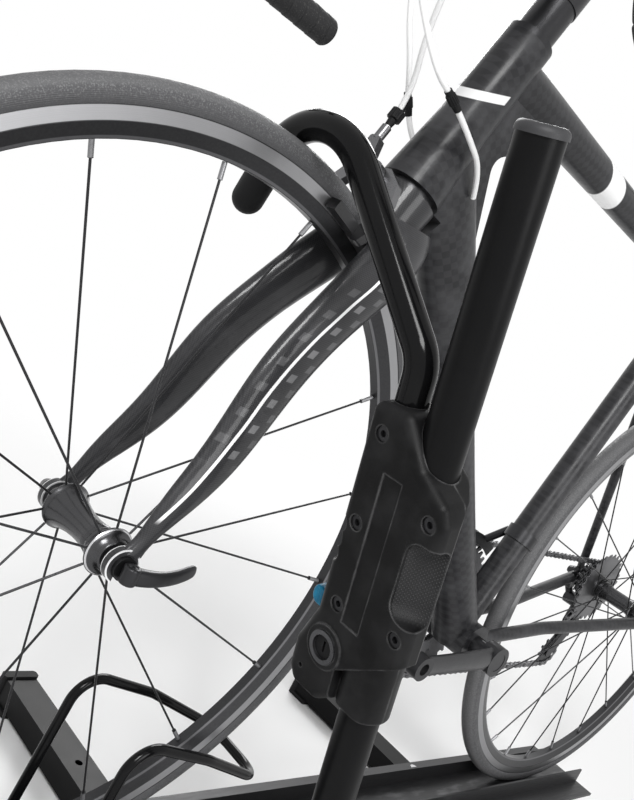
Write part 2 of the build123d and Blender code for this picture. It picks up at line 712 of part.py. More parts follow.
def brake_arm(plane, hand, layer, pad_drop, shoe_back, cable):
    """One caliper arm with its shoe; hand is the sign of the plane's X."""
    base = plane.offset(layer)
    half = RIM_WIDTH / 2
    reach = pad_drop + 9
    outline = [(-6, 8), (10, 10), (26, 0), (33, -16), (33, -reach + 8), (29, -reach),
               (21, -reach), (21, -pad_drop + 9), (22, -20), (16, -10), (6, -8), (-6, -6)]
    outline = [(hand * x, y) for x, y in outline]
    arm = slab(base, outline, ARM_THICK, 2.5)
    arm = arm + extrude(base * Circle(ARM_HUB_R), ARM_THICK)
    if cable:
        horn = [(hand * 6, 2), (hand * 16, 30), (hand * 27, 30), (hand * 27, 2)]
        arm = arm + slab(base, horn, ARM_THICK, 2.5)
        foot = base.from_local_coords(Vector(hand * HORN_X, 28, ARM_THICK / 2))
        top = base.from_local_coords(Vector(hand * HORN_X, HORN_TOP, ARM_THICK / 2))
        arm = arm + rod(foot, top, HORN_R)
    shoe_plane = plane.offset(-shoe_back)
    near, low, high = half + PAD_GAP, -pad_drop - PAD_HALF, -pad_drop + PAD_HALF
    shoe = [(hand * near, high), (hand * 22, high), (hand * 22, low), (hand * near, low)]
    arm = arm + slab(shoe_plane, shoe, SHOE_LENGTH)
    return arm - extrude(plane.offset(-40) * Circle(BRAKE_BOLT_R + SEAT_GAP), 90)


def pad_distance(pivot, up, centre):
    """How far below the pivot the middle of the brake track lies."""
    offset = pivot - centre
    along = offset.dot(up)
    across = offset - up * along
    track = RIM_R - TRACK_DEPTH / 2
    return along - sqrt(track**2 - across.length**2)


def front_brake():
    pivot = on_steerer(-CALIPER_DROP) + steer_front * CALIPER_FORWARD
    plane = brake_frame(pivot, steer_up, steer_front)
    drop = pad_distance(pivot, steer_up, front_axle)
    keep("front_brake_left_arm", brake_arm(plane, LEFT, 0, drop, SHOE_BACK_FRONT, False))
    layer = ARM_THICK + ARM_GAP
    keep("front_brake_right_arm", brake_arm(plane, -LEFT, layer, drop, SHOE_BACK_FRONT, True))
    return plane.from_local_coords(Vector(-LEFT * HORN_X, HORN_TOP, layer + ARM_THICK / 2))


# Rear triangle
def stay_y(distance):
    """Seat stay's distance from the middle plane, at a distance from the axle."""
    length = (stay_top - rear_axle).length
    return STAY_LOW_Y + (STAY_TOP_Y - STAY_LOW_Y) * distance / length


def stay_point(side, distance):
    """A point on a seat stay's axis, at a distance from the rear axle."""
    return rear_axle + stay_dir * distance + Vector(0, side * stay_y(distance), 0)


def chainstays():
    slot = axle_slot(rear_axle, HUB_WIDTH_REAR)
    shell = rod(bb - Vector(0, 60, 0), bb + Vector(0, 60, 0), BB_SHELL_R)
    result = []
    along = rear_axle - bb
    for side in (-1, 1):
        bend = bb + along * 0.38 + Vector(0, side * STAY_BEND_Y, 0)
        root = bb + Vector(0, side * STAY_ROOT_Y, 0)
        tip = rear_axle + Vector(0, side * STAY_LOW_Y, 0)
        stay = bent_bar([root, bend, tip], [STAY_BEND_R], CHAINSTAY_R)
        stay = stay + dropout(rear_axle, side, HUB_WIDTH_REAR, DROPOUT_R)
        tab = rod(stay_point(side, 4), stay_point(side, STAY_FOOT), SEATSTAY_R - 1)
        face = HUB_WIDTH_REAR / 2 + DROPOUT_THICK
        outer = rod(rear_axle + Vector(0, side * face, 0), rear_axle + Vector(0, side * (face + 20), 0), 22)
        inner = rod(rear_axle, rear_axle + Vector(0, side * HUB_WIDTH_REAR / 2, 0), DROPOUT_R * 2)
        stay = stay + tab
        result.append(stay - slot - shell - outer - inner)
    return result


def seatstays(seat_outer):
    bolt_at = rear_axle + stay_dir * BRIDGE_R
    half = stay_y(BRIDGE_R)
    bridge = rod(bolt_at - Vector(0, half, 0), bolt_at + Vector(0, half, 0), BRIDGE_TUBE_R)
    reach = BRIDGE_TUBE_R + 1 + 2 * ARM_THICK + ARM_GAP + BRAKE_BOLT_END
    bolt = rod(bolt_at, bolt_at + stay_back * reach, BRAKE_BOLT_R)
    body = bridge + bolt
    for side in (-1, 1):
        top = stay_top + Vector(0, side * STAY_TOP_Y, 0)
        crest = stay_top + Vector(0, side * 6, 0) + stay_dir * 6
        body = body + rod(stay_point(side, STAY_FOOT), top, SEATSTAY_R - 1, SEATSTAY_R)
        body = body + rod(top, crest, SEATSTAY_R) + Pos(*top) * Sphere(SEATSTAY_R)
    return body - seat_outer


def rear_brake():
    pivot = rear_axle + stay_dir * BRIDGE_R + stay_back * (BRIDGE_TUBE_R + 1)
    plane = brake_frame(pivot, stay_dir, stay_back)
    drop = pad_distance(pivot, stay_dir, rear_axle)
    left = -1 if plane.x_dir.Y > 0 else 1
    layer = ARM_THICK + ARM_GAP
    keep("rear_brake_left_arm", brake_arm(plane, left, 0, drop, SHOE_BACK_REAR, False))
    keep("rear_brake_right_arm", brake_arm(plane, -left, layer, drop, SHOE_BACK_REAR, True))


# Main frame
def tube_plane(point, along):
    """Section plane across a tube that lies in the middle plane."""
    return Plane(origin=point, x_dir=(0, 1, 0), z_dir=along)


def frame_bar(start, end, r, extra, span=(0, 1)):
    """A solid bar between two shares of a run; extra widens it at the run's start, middle and end."""
    run = end - start

    def section(share):
        near, far = extra[:2] if share < 0.5 else extra[1:]
        mix = 2 * share if share < 0.5 else 2 * share - 1
        a, b = [p + (q - p) * mix for p, q in zip(near, far)]
        return tube_plane(start + run * share, run), r + a, r + b
    return lofted([section(share) for share in (span[0], 0.5, span[1])])


def gusset(top_from, top_to, down_from):
    """The web behind the head tube, with a hollow rear edge, before the tubes are cut from it."""
    top_end = top_from + (top_to - top_from).normalized() * GUSSET_TOP
    down_end = down_from + (bb - down_from).normalized() * GUSSET_DOWN
    hollow = on_steerer(GUSSET_UP) - steer_front * GUSSET_BACK
    outline = [(p.X, p.Z) for p in (top_from, top_end, hollow, down_end, down_from)]
    return slab(Plane.XZ.offset(-GUSSET_HALF), outline, 2 * GUSSET_HALF, GUSSET_ROUND)


def main_frame():
    low = on_steerer(RACE_THICK)
    high = on_steerer(RACE_THICK + HEAD_LENGTH)
    waist = on_steerer(RACE_THICK + HEAD_LENGTH * 0.45)
    outer = rod(low, waist, HEAD_R_LOW, HEAD_R_TOP + 1) + rod(waist, high, HEAD_R_TOP + 1, HEAD_R_TOP)
    head = outer - rod(on_steerer(0), on_steerer(SPACER_FOOT), HEAD_R_TOP - HEAD_WALL)
    keep("head_tube", head)

    def race(foot):
        ring = rod(on_steerer(foot), on_steerer(foot + RACE_THICK - SEAT_GAP), HEAD_R_TOP)
        return ring - rod(on_steerer(foot - 5), on_steerer(foot + 20), STEERER_R + SEAT_GAP)
    keep("headset_bearings", race(SEAT_GAP), race(RACE_THICK + HEAD_LENGTH))

    seat_outer = rod(bb, seat_top, SEAT_TUBE_R)
    shell_room = rod(bb - Vector(0, 90, 0), bb + Vector(0, 90, 0), BB_SHELL_R)
    post_bore = rod(bb + seat_up * POST_BORE_FROM, seat_top + seat_up * 5, SEATPOST_R + SEAT_GAP)
    keep("seat_tube", seat_outer - post_bore - shell_room)

    shell = rod(bb - Vector(0, BB_SHELL_WIDTH / 2, 0), bb + Vector(0, BB_SHELL_WIDTH / 2, 0), BB_SHELL_R)
    spindle = rod(bb - Vector(0, 90, 0), bb + Vector(0, 90, 0), SPINDLE_R + SEAT_GAP)
    keep("bottom_bracket_shell", shell - spindle)

    top_from = on_steerer(RACE_THICK + HEAD_LENGTH - TOP_TUBE_HEAD)
    top_to = seat_top - seat_up * TOP_TUBE_SEAT
    top_bar = frame_bar(top_from, top_to, TOP_TUBE_R, TOP_TUBE_EXTRA)
    top = top_bar - frame_bar(top_from, top_to, TOP_TUBE_R - TUBE_WALL, TOP_TUBE_EXTRA)
    head_room = rod(on_steerer(0), on_steerer(SPACER_FOOT + 30), HEAD_R_TOP)
    keep("top_tube", top - outer - seat_outer - head_room)

    down_from = on_steerer(RACE_THICK + DOWN_TUBE_FOOT)
    down_bar = frame_bar(down_from, bb, DOWN_TUBE_R, DOWN_TUBE_EXTRA)
    down = down_bar - frame_bar(down_from, bb, DOWN_TUBE_R - TUBE_WALL, DOWN_TUBE_EXTRA, DOWN_TUBE_BORE)
    crown_room = rod(on_steerer(-90), on_steerer(RACE_THICK), HEAD_R_LOW + CROWN_ROOM)
    down = down - outer - shell_room - seat_outer - crown_room
    down = max(down.solids(), key=lambda s: s.volume)
    web = gusset(top_from, top_to, down_from) - outer - top_bar - down_bar
    keep("down_tube", down, max(web.solids(), key=lambda s: s.volume))

    stays = chainstays()
    stays = [max((s - PARTS["down_tube"][0] - seat_outer).solids(), key=lambda p: p.volume) for s in stays]
    keep("chainstays", *stays)
    keep("seatstays", seatstays(seat_outer))


# Saddle
def seatpost():
    top = seat_top + seat_up * POST_RISE
    post = rod(seat_top - seat_up * POST_INSERT, top, SEATPOST_R)
    head = rod(top + Vector(0, -RAIL_Y - 6, 4), top + Vector(0, RAIL_Y + 6, 4), POST_HEAD_R)
    return post + head - saddle_rails(SEAT_GAP)


def saddle_rails(gap=0.0):
    top = seat_top + seat_up * POST_RISE
    bars = []
    for side in (-1, 1):
        y = side * RAIL_Y
        points = [top + Vector(-105, side * 8, 34), top + Vector(-60, y, 6), top + Vector(60, y, 6),
                  top + Vector(95, side * 32, 30)]
        bars.append(bent_bar(points, [40, 40], RAIL_R + gap))
    return bars[0] + bars[1]


def saddle():
    """Saddle shell and padding with crowned top, on two rails."""
    top = seat_top + seat_up * POST_RISE
    front = -SADDLE_LENGTH * 0.54
    sections = []
    for share, half, height, thick in ((0, 17, 40, 9), (0.12, 21, 44, 13), (0.4, 26, 46, 17),
                                       (0.68, 50, 46, 19), (0.88, SADDLE_WIDTH / 2, 48, 17),
                                       (1.0, SADDLE_WIDTH / 2 - 8, 49, 10)):
        plane = Plane(origin=top + Vector(front + SADDLE_LENGTH * share, 0, height - 6),
                      x_dir=(0, 1, 0), z_dir=(1, 0, 0))
        sections.append((plane, half, thick))
    return lofted(sections) + saddle_rails()


# Drive train
def spider_point(k, y):
    """Where the spider's arm k holds the chainrings, at a distance y from the middle plane."""
    turn = radians(54 + 360 / SPIDER_ARMS * k)
    return bb + Vector(SPIDER_R * cos(turn), y, SPIDER_R * sin(turn))


def ring_bolts(low, high, r):
    """Rods through the chainrings, one for each arm of the spider."""
    return [rod(spider_point(k, low), spider_point(k, high), r) for k in range(SPIDER_ARMS)]


def toothed(centre, teeth, y, hole):
    """A chainring or jockey wheel: a thin disc with one tooth for each chain pitch."""
    root = pitch_radius(teeth) - TOOTH
    plane = Plane(origin=centre + Vector(0, y + RING_THICK / 2, 0), x_dir=(1, 0, 0), z_dir=(0, -1, 0))
    points = []
    for k in range(teeth):
        for share, r in ((-0.32, root), (-0.12, root + 2 * TOOTH), (0.12, root + 2 * TOOTH), (0.32, root)):
            turn = 2 * pi * (k + share) / teeth
            points.append((r * cos(turn), r * sin(turn)))
    disc = make_face(Polyline(*points, close=True)) - Circle(hole)
    return extrude(plane * disc, RING_THICK)


def tangent(a, b):
    """End points of the belt's straight run from circle a to circle b.

    A circle is (x, z, r); r is positive where the belt turns anticlockwise.
    """
    dx, dz = b[0] - a[0], b[1] - a[1]
    span = sqrt(dx * dx + dz * dz)
    lean = atan2(dz, dx) - pi / 2 + asin_safe((a[2] - b[2]) / span)
    nx, nz = cos(lean), sin(lean)
    return (a[0] + a[2] * nx, a[1] + a[2] * nz), (b[0] + b[2] * nx, b[1] + b[2] * nz)


def asin_safe(value):
    return atan2(value, sqrt(max(0.0, 1 - value * value)))


def belt_face(circles, grow):
    """Closed outline of a belt round circles, moved outwards by grow."""
    wheels = [(x, z, r + grow) for x, z, r in circles]
    runs = [tangent(wheels[k], wheels[(k + 1) % len(wheels)]) for k in range(len(wheels))]
    edges = []
    for k, (start, end) in enumerate(runs):
        edges.append(Line(start, end))
        x, z, r = wheels[(k + 1) % len(wheels)]
        leave = runs[(k + 1) % len(runs)][0]
        first = atan2((end[1] - z) / r, (end[0] - x) / r)
        last = atan2((leave[1] - z) / r, (leave[0] - x) / r)
        sweep_angle = (last - first) % (2 * pi) if r > 0 else -((first - last) % (2 * pi))
        middle = first + sweep_angle / 2
        edges.append(ThreePointArc(end, (x + r * cos(middle), z + r * sin(middle)), leave))
    return make_face(Wire(edges))


def chain():
    """Two rows of chain plates on either side of the teeth."""
    def wheel(point, r):
        return point.X - bb.X, point.Z - bb.Z, r
    circles = [wheel(bb, ring_r), wheel(tension, pulley_r), wheel(guide, -pulley_r), wheel(rear_axle, cog_r)]
    band = belt_face(circles, CHAIN_HALF_HEIGHT) - belt_face(circles, -CHAIN_HALF_HEIGHT)
    rows = []
    side = RING_THICK / 2 + CHAIN_SIDE_GAP
    for y in (CHAIN_Y - side, CHAIN_Y + side + CHAIN_PLATE):
        plane = Plane(origin=(bb.X, y, bb.Z), x_dir=(1, 0, 0), z_dir=(0, -1, 0))
        rows.append(extrude(plane * band, CHAIN_PLATE))
    return rows


def crank_arm(side, direction):
    """A crank arm with a pedal hole, from the spindle to the pedal's place."""
    tip = bb + Vector(direction * CRANK_LENGTH, side * CRANK_TIP_Y, 0)
    root = bb + Vector(0, side * CRANK_ROOT_Y, 0)
    sections = []
    run = tip - root
    for share, tall, thick in ((0, 15, 8), (0.3, 13, 8), (0.75, 11.5, 7), (1.0, 12, 6.5)):
        plane = Plane(origin=root + run * share, x_dir=(0, 0, 1), z_dir=(direction, 0, 0))
        sections.append((plane, tall, thick))
    arm = lofted(sections)
    half = Vector(0, CRANK_HUB_HALF, 0)
    arm = arm + rod(root - half, root + half, CRANK_HUB_R)
    half = Vector(0, CRANK_EYE_HALF, 0)
    arm = arm + rod(tip - half, tip + half, CRANK_EYE_R)
    return arm - rod(tip - Vector(0, 30, 0), tip + Vector(0, 30, 0), PEDAL_HOLE_R)


def crankset():
    """Left and right crank arms and their spindle; the right arm carries the spider."""
    left = crank_arm(-1, -1)
    right = crank_arm(1, 1)
    left = left - rod(bb - Vector(0, 90, 0), bb, SPINDLE_R + SEAT_GAP)
    spindle_end = Vector(0, CRANK_ROOT_Y + CRANK_HUB_HALF - 0.5, 0)
    spindle = rod(bb - spindle_end, bb + spindle_end, SPINDLE_R)
    spider = None
    for k in range(SPIDER_ARMS):
        tip = spider_point(k, CHAIN_Y + 3)
        root = bb + Vector(0, CHAIN_Y + 14, 0)
        arm = rod(root, tip, 8, 6.5)
        spider = arm if spider is None else spider + arm
    hub_disc = rod(bb + Vector(0, CHAIN_Y + 4, 0), bb + Vector(0, CRANK_ROOT_Y + 4, 0), CRANK_HUB_R + 1)
    right = right + spider + hub_disc
    inner_y = CHAIN_Y - INNER_RING_STEP
    rings = [toothed(bb, RING_TEETH, CHAIN_Y, RING_HOLE_R)]
    rings.append(toothed(bb, INNER_RING_TEETH, inner_y, RING_HOLE_R))
    gap = rod(bb + Vector(0, inner_y - 6, 0), bb + Vector(0, CHAIN_Y + RING_THICK / 2, 0), SPIDER_R + 15)
    core = rod(bb + Vector(0, -200, 0), bb + Vector(0, 200, 0), RING_HOLE_R - 4)
    right = right - (gap - core)
    half = RING_THICK / 2
    inner_face, outer_face = inner_y - half, CHAIN_Y + half
    bolts = ring_bolts(inner_face - RING_BOLT_HEAD, outer_face + 1, RING_BOLT_R)
    bolts += ring_bolts(inner_face - RING_BOLT_HEAD, inner_face, RING_BOLT_HEAD_R)
    bolts += ring_bolts(inner_y + half, CHAIN_Y - half, RING_BOLT_HEAD_R)
    for bolt in bolts:
        right = right + bolt
    for hole in ring_bolts(inner_face - 1, outer_face + 1, RING_BOLT_R + SEAT_GAP):
        rings = [ring - hole for ring in rings]
    right = right - rod(bb, bb + Vector(0, 90, 0), SPINDLE_R + SEAT_GAP)
    keep("crank_arms", left, right, spindle)
    keep("chainrings", *rings)


def rear_derailleur():
    """Hanger arm, body and cage with two jockey wheels."""
    side = RING_THICK / 2 + CHAIN_SIDE_GAP + CHAIN_PLATE + CAGE_GAP
    inner, outer = CHAIN_Y - side, CHAIN_Y + side

    def strip(y, thick):
        plane = Plane(origin=(0, y, 0), x_dir=(1, 0, 0), z_dir=(0, -1, 0))
        a, b = (guide.X, guide.Z), (tension.X, tension.Z)
        outline = SlotCenterToCenter(sqrt((a[0] - b[0])**2 + (a[1] - b[1])**2), 18)
        angle = degrees(atan2(b[1] - a[1], b[0] - a[0]))
        middle = Pos((a[0] + b[0]) / 2, (a[1] + b[1]) / 2) * Rot(0, 0, angle)
        return extrude(plane * middle * outline, thick)
    cage = strip(inner, CAGE_PLATE) + strip(outer, -CAGE_PLATE)
    for point in (guide, tension):
        cage = cage + rod(point + Vector(0, inner - 1, 0), point + Vector(0, outer + 1, 0), CAGE_PIN_R)
    body_at = rear_axle + Vector(16, 0, -42)
    hanger = rear_axle + Vector(9, 0, -22)
    y_out = HUB_WIDTH_REAR / 2 + DROPOUT_THICK
    link = rod(body_at + Vector(0, outer + 1.7, 0), body_at + Vector(0, y_out + 4, 0), 11)
    link = link + rod(hanger + Vector(0, y_out + 0.3, 0), hanger + Vector(0, y_out + 12, 0), 8)
    link = link + rod(hanger + Vector(0, y_out + 8, 0), body_at + Vector(0, y_out - 2, 0), 6)
    link = link + rod(body_at + Vector(0, outer + 6, 0), guide + Vector(0, outer + 6, 0), 6)
    link = link + rod(guide + Vector(0, outer, 0), guide + Vector(0, outer + 10, 0), 6)
    pulleys = []
    for point in (guide, tension):
        pulleys.append(toothed(point, PULLEY_TEETH, CHAIN_Y, CAGE_PIN_R + SEAT_GAP))
    return [cage + link] + pulleys


def front_derailleur():
    """Cage over the large chainring, clamped to the seat tube."""
    outer_r = ring_r + 12
    inner_r = ring_r - 6
    cage = None
    seat_side = degrees(atan2(seat_up.Z, seat_up.X))
    for y in (CHAIN_Y - 6.4, CHAIN_Y + 5):
        plane = Plane(origin=(bb.X, y, bb.Z), x_dir=(1, 0, 0), z_dir=(0, -1, 0))
        ring = plane * (Circle(outer_r + 4) - Circle(inner_r + 8))
        wedge = [(0, 0)]
        for turn in (seat_side - 16, seat_side, seat_side + 20):
            wedge.append((400 * cos(radians(turn)), 400 * sin(radians(turn))))
        plate = extrude(ring, 1.4) & extrude(plane * make_face(Polyline(*wedge, close=True)), 1.4)
        cage = plate if cage is None else cage + plate
    turn = radians(seat_side)
    top = bb + Vector(cos(turn), 0, sin(turn)) * (outer_r + 1.5)
    bridge = rod(top + Vector(0, CHAIN_Y - 7.8, 0), top + Vector(0, CHAIN_Y + 5, 0), 2.4)
    clamp_at = bb + seat_up * (outer_r + 28)
    band = rod(clamp_at - seat_up * 8, clamp_at + seat_up * 8, SEAT_TUBE_R + 3)
    arm = rod(clamp_at + Vector(0, SEAT_TUBE_R + 2, 0), top + Vector(0, CHAIN_Y - 8.5, 0), 5)
    return cage + bridge + band + arm - rod(bb, seat_top, SEAT_TUBE_R + SEAT_GAP)


def drive():
    crankset()
    keep("chain", *chain())
    keep("rear_derailleur", *rear_derailleur())
    keep("front_derailleur", front_derailleur())


def cockpit():
    bar = handlebar()
    left, right = bar_drop_points(-1), bar_drop_points(1)
    bar_room = bent_bar(left + right[::-1], BAR_RADII + BAR_RADII[::-1], BAR_R + SEAT_GAP)
    keep("fork", fork())
    keep("stem", stem())
    keep("handlebar", bar)
    keep("bar_tape", *[bar_tape(side) for side in (-1, 1)])
    keep("brake_hoods", *[hood(side, bar_room) for side in (-1, 1)])
    keep("left_brake_lever", brake_lever(-1))
    keep("right_brake_lever", brake_lever(1))


# Cables
def from_axle(*points):
    """Points given from the front axle."""
    return [at(*point) for point in points]


def cord(points, r):
    """A cable along its route, each bend as wide as its two runs allow."""
    radii = []
    for before, here, after in zip(points, points[1:], points[2:]):
        turn = radians((here - before).get_angle(after - here))
        run = min((here - before).length, (after - here).length)
        radii.append(0.45 * run / tan(turn / 2))
    return bent_bar(points, radii, r)


def cables(brake_top):
    """Front brake housing, and two housings that pass the head tube on either side."""
    leave = -BAR_R - CLEAR
    brake = [bar_point(leave, -CABLE_Y, 0), bar_point(-40, -78, -4), bar_point(-66, -62, -26),
             bar_point(-72, -32, -76), brake_top + Vector(-26, -20, 74), brake_top + steer_up * 32,
             brake_top + steer_up * CLEAR]
    left = [bar_point(leave, CABLE_Y, 0), bar_point(-38, 76, -4), bar_point(-64, 56, -36),
            bar_point(-72, 14, -100), bar_point(-47, -30, -168), bar_point(-15, -36, -180.4),
            bar_point(20.2, -38, -196.7), bar_point(53.4, -34, -209.8)]
    right = [bar_point(leave, INNER_CABLE_Y, 0), bar_point(-36, 62, -3), bar_point(-40, 58, -60),
             bar_point(-22, 48, -120), bar_point(-1.3, 40, -156.7), bar_point(20, 44, -183.3),
             bar_point(38, 34, -210.7)]
    left += from_axle((207.7, -25.8, 366.3))
    right += from_axle((207.7, 25.8, 366.3))
    return [cord(route, CABLE_R) for route in (brake, left, right)]


# Stand base
def foot_bar(x):
    """A box tube across the stand, with two holes for floor bolts."""
    half, length = FOOT_BAR_WIDTH / 2, FOOT_BAR_LENGTH / 2
    tube = box((x - half, -length, FOOT_PAD), (x + half, length, TRAY_Z))
    wall = FOOT_BAR_WALL
    tube = tube - box((x - half + wall, -length, FOOT_PAD + wall), (x + half - wall, length, TRAY_Z - wall))
    for side in (-1, 1):
        y = side * FLOOR_HOLE_Y
        tube = tube - rod((x, y, 0), (x, y, TRAY_TOP), FLOOR_HOLE_R)
    return tube


def foot_cap(x, side):
    """A rubber cap that closes a foot bar's end and stands on the floor."""
    half, end, wall = FOOT_BAR_WIDTH / 2, FOOT_BAR_LENGTH / 2, FOOT_BAR_WALL + SEAT_GAP
    out = half + CAP_WALL
    pad = box((x - out, end - CAP_PAD, 0), (x + out, end + CAP_END, FOOT_PAD))
    block = box((x - out, end, 0), (x + out, end + CAP_END, TRAY_Z + CAP_WALL))
    block = fillet((pad + block).edges().filter_by(Axis.Z), 4)
    plug = box((x - half + wall, end - CAP_PLUG, FOOT_PAD + wall), (x + half - wall, end, TRAY_Z - wall))
    cap = block + plug
    return cap if side > 0 else mirror(cap, Plane.XZ)


def bolt_places():
    """Bolts that hold the tray and the mast bracket on the foot bars."""
    places = [(x, y, TRAY_TOP) for x in (-BAR_X, BAR_X) for y in (-TRAY_BOLT_Y, TRAY_BOLT_Y)]
    places += [(-BAR_X, -MAST_SIDE + side * BRACKET_BOLT_Y, TRAY_Z + BRACKET_BASE) for side in (-1, 1)]
    return places


def stand_bolt(x, y, z):
    """A cap screw with its nut inside the foot bar."""
    inside = TRAY_Z - FOOT_BAR_WALL
    shank = rod((x, y, inside - NUT_HEIGHT - 3), (x, y, z), TRAY_BOLT_R)
    head = rod((x, y, z), (x, y, z + BOLT_HEAD), BOLT_HEAD_R)
    return shank + head + rod((x, y, inside - NUT_HEIGHT), (x, y, inside), BOLT_HEAD_R)


def wheel_tray():
    """A plate with two ribs that keep the tyres in line."""
    x = WHEELBASE / 2 + TRAY_OVERHANG
    half, groove = TRAY_WIDTH / 2, TRAY_GROOVE / 2
    tray = box((-x, -half, TRAY_Z), (x, half, TRAY_TOP))
    for side in (-1, 1):
        low, high = sorted((side * groove, side * (groove + TRAY_RIB_THICK)))
        tray = tray + box((-x, low, TRAY_TOP), (x, high, TRAY_TOP + TRAY_RIB))
    return tray


def wheel_hoop():
    """A bent rod on both sides of the front tyre, closed behind it."""
    half, floor = HOOP_HALF_WIDTH, TRAY_TOP - HOOP_R - AXLE_Z
    left = [(92, -half, floor), (108, -half, -166), (200, -half, -190), (296, -half + 8, -228)]
    right = [(x, -y, z) for x, y, z in reversed(left)]
    hoop = bent_bar(from_axle(*left, *right), [26, 70, 34, 34, 70, 26], HOOP_R)
    return hoop - box((-WHEELBASE, -TRAY_WIDTH, 0), (WHEELBASE, TRAY_WIDTH, TRAY_TOP))


# Mast and its foot
def mast_bracket():
    """A bent bracket on the foot bar with two cheeks for the pivot bolt."""
    x, y, z = mast_foot
    base = TRAY_Z + BRACKET_BASE
    half = BRACKET_BOLT_Y + BOLT_HEAD_R + 2
    bracket = box((x - BRACKET_HALF, y - half, TRAY_Z), (x + BRACKET_HALF, y + half, base))
    for side in (-1, 1):
        near = y + side * (MAST_R + CHEEK_GAP)
        far = near + side * CHEEK
        low, high = sorted((near, far))
        bracket = bracket + box((x - BRACKET_HALF, low, base), (x + BRACKET_HALF, high, z))
        bracket = bracket + rod((x, low, z), (x, high, z), BRACKET_HALF)
    return bracket - rod((x, y - 60, z), (x, y + 60, z), PIVOT_R + SEAT_GAP)


def mast_pivot_bolt():
    x, y, z = mast_foot
    out = MAST_R + CHEEK_GAP + CHEEK
    bolt = rod((x, y - out, z), (x, y + out + PIVOT_HEAD + 4, z), PIVOT_R)
    head = rod((x, y - out - PIVOT_HEAD, z), (x, y - out, z), PIVOT_HEAD_R)
    nut = rod((x, y + out, z), (x, y + out + PIVOT_HEAD + 1, z), PIVOT_HEAD_R)
    return bolt + head + nut


def ratchet_strip():
    """A toothed strip let into the side of the mast that faces the wheel."""
    back, root, top = MAST_R - STRIP_SEAT, MAST_R - STRIP_ROOT, MAST_R - STRIP_TIP
    points = [(back, STRIP_FROM), (root, STRIP_FROM)]
    for k in range(strip_teeth):
        z = STRIP_FROM + k * STRIP_PITCH
        points += [(root, z + 2), (top, z + 2.4), (root, z + STRIP_PITCH)]
    points.append((back, STRIP_FROM + strip_teeth * STRIP_PITCH))
    return slab(Plane.YZ.offset(-STRIP_WIDTH / 2), points, STRIP_WIDTH)


def mast_tube():
    tube = rod((0, 0, -MAST_TAIL), (0, 0, MAST_TOP), MAST_R)
    tube = tube - rod((0, 0, -MAST_TAIL - 1), (0, 0, MAST_TOP + 1), MAST_R - MAST_WALL)
    tube = tube - rod((0, -40, 0), (0, 40, 0), PIVOT_R + SEAT_GAP)
    half = STRIP_WIDTH / 2
    strip_top = STRIP_FROM + strip_teeth * STRIP_PITCH
    return tube - box((-half, MAST_R - STRIP_SEAT, STRIP_FROM), (half, MAST_R + 5, strip_top))


def mast_cap():
    """A plug with a domed rim that closes the top of the mast."""
    top = rod((0, 0, MAST_TOP), (0, 0, MAST_TOP + CAP_HEIGHT), MAST_R + CAP_RIM)
    top = fillet(top.edges().group_by(Axis.Z)[-1], CAP_ROUND)
    return top + rod((0, 0, MAST_TOP - 18), (0, 0, MAST_TOP), MAST_R - MAST_WALL - SEAT_GAP)


# Hook
def hook_points():
    """Corner points of the hook's axis, as (y, z) in the mast's frame."""
    rise, fall = radians(HOOK_RISE_ANGLE), radians(HOOK_FALL_ANGLE)
    centre = Vector(MAST_SIDE - HOOK_APEX_SHIFT, hook_top - HOOK_BEND_R)
    leave = centre + Vector(-sin(rise), cos(rise)) * HOOK_BEND_R
    land = centre + Vector(sin(fall), cos(fall)) * HOOK_BEND_R
    crest_turn = (pi / 2 + rise + pi / 2 - fall) / 2
    crest = centre + Vector(cos(crest_turn), sin(crest_turn)) * (HOOK_BEND_R / cos((rise + fall) / 2))
    elbow = Vector(HOOK_OFFSET, leave.Y - (leave.X - HOOK_OFFSET) * tan(rise))
    tip = land + Vector(cos(fall), -sin(fall)) * HOOK_TIP_LENGTH
    return Vector(HOOK_OFFSET, HOOK_FOOT), elbow, crest, tip, land


def in_plane(point):
    """A point of the hook's plane, in the mast's frame."""
    return Vector(0, point.X, point.Y)


def hook_bar(r, bore=0):
    foot, elbow, crest, tip, land = hook_points()
    route = [in_plane(point) for point in (foot, elbow, crest, tip)]
    return bent_bar(route, [HOOK_LOW_BEND_R, HOOK_BEND_R], r, bore)


def hook_tube():
    tube = hook_bar(HOOK_R, HOOK_R - HOOK_WALL)
    for y, z in SCREWS[:2]:
        tube = tube - rod((-30, y, z), (30, y, z), SCREW_R + SEAT_GAP)
    return tube


def hook_sleeve():
    """A soft sleeve over the hook's free end, closed by a round tip."""
    foot, elbow, crest, tip, land = hook_points()
    outer = HOOK_R + SLEEVE_WALL
    start, end = in_plane(land), in_plane(tip)
    inside = rod(start, end, HOOK_R + SEAT_GAP)
    return rod(start, end, outer) + Pos(*end) * Sphere(outer) - inside


# Ratchet carriage
def screw_end(y):
    return SCREW_END if y > 0 else NEAR_SCREW_END


def screw(y, z):
    face = -BODY_HALF + SCREW_SINK
    head = rod((face, y, z), (face + SCREW_HEAD, y, z), SCREW_HEAD_R)
    socket = rod((face - 1, y, z), (face + SCREW_HEAD - 1.2, y, z), SCREW_R)
    return head - socket + rod((face + SCREW_HEAD - 0.5, y, z), (screw_end(y), y, z), SCREW_R)


def screw_room(y, z):
    face = -BODY_HALF + SCREW_SINK + SCREW_HEAD
    head = rod((-BODY_HALF - 30, y, z), (face, y, z), SCREW_HEAD_R + SCREW_HEAD_GAP)
    return head + rod((face - 1, y, z), (screw_end(y) + SEAT_GAP, y, z), SCREW_R + SEAT_GAP)


def lock_rod(x0, x1, r):
    return rod((x0, LOCK_Y, LOCK_Z), (x1, LOCK_Y, LOCK_Z), r)


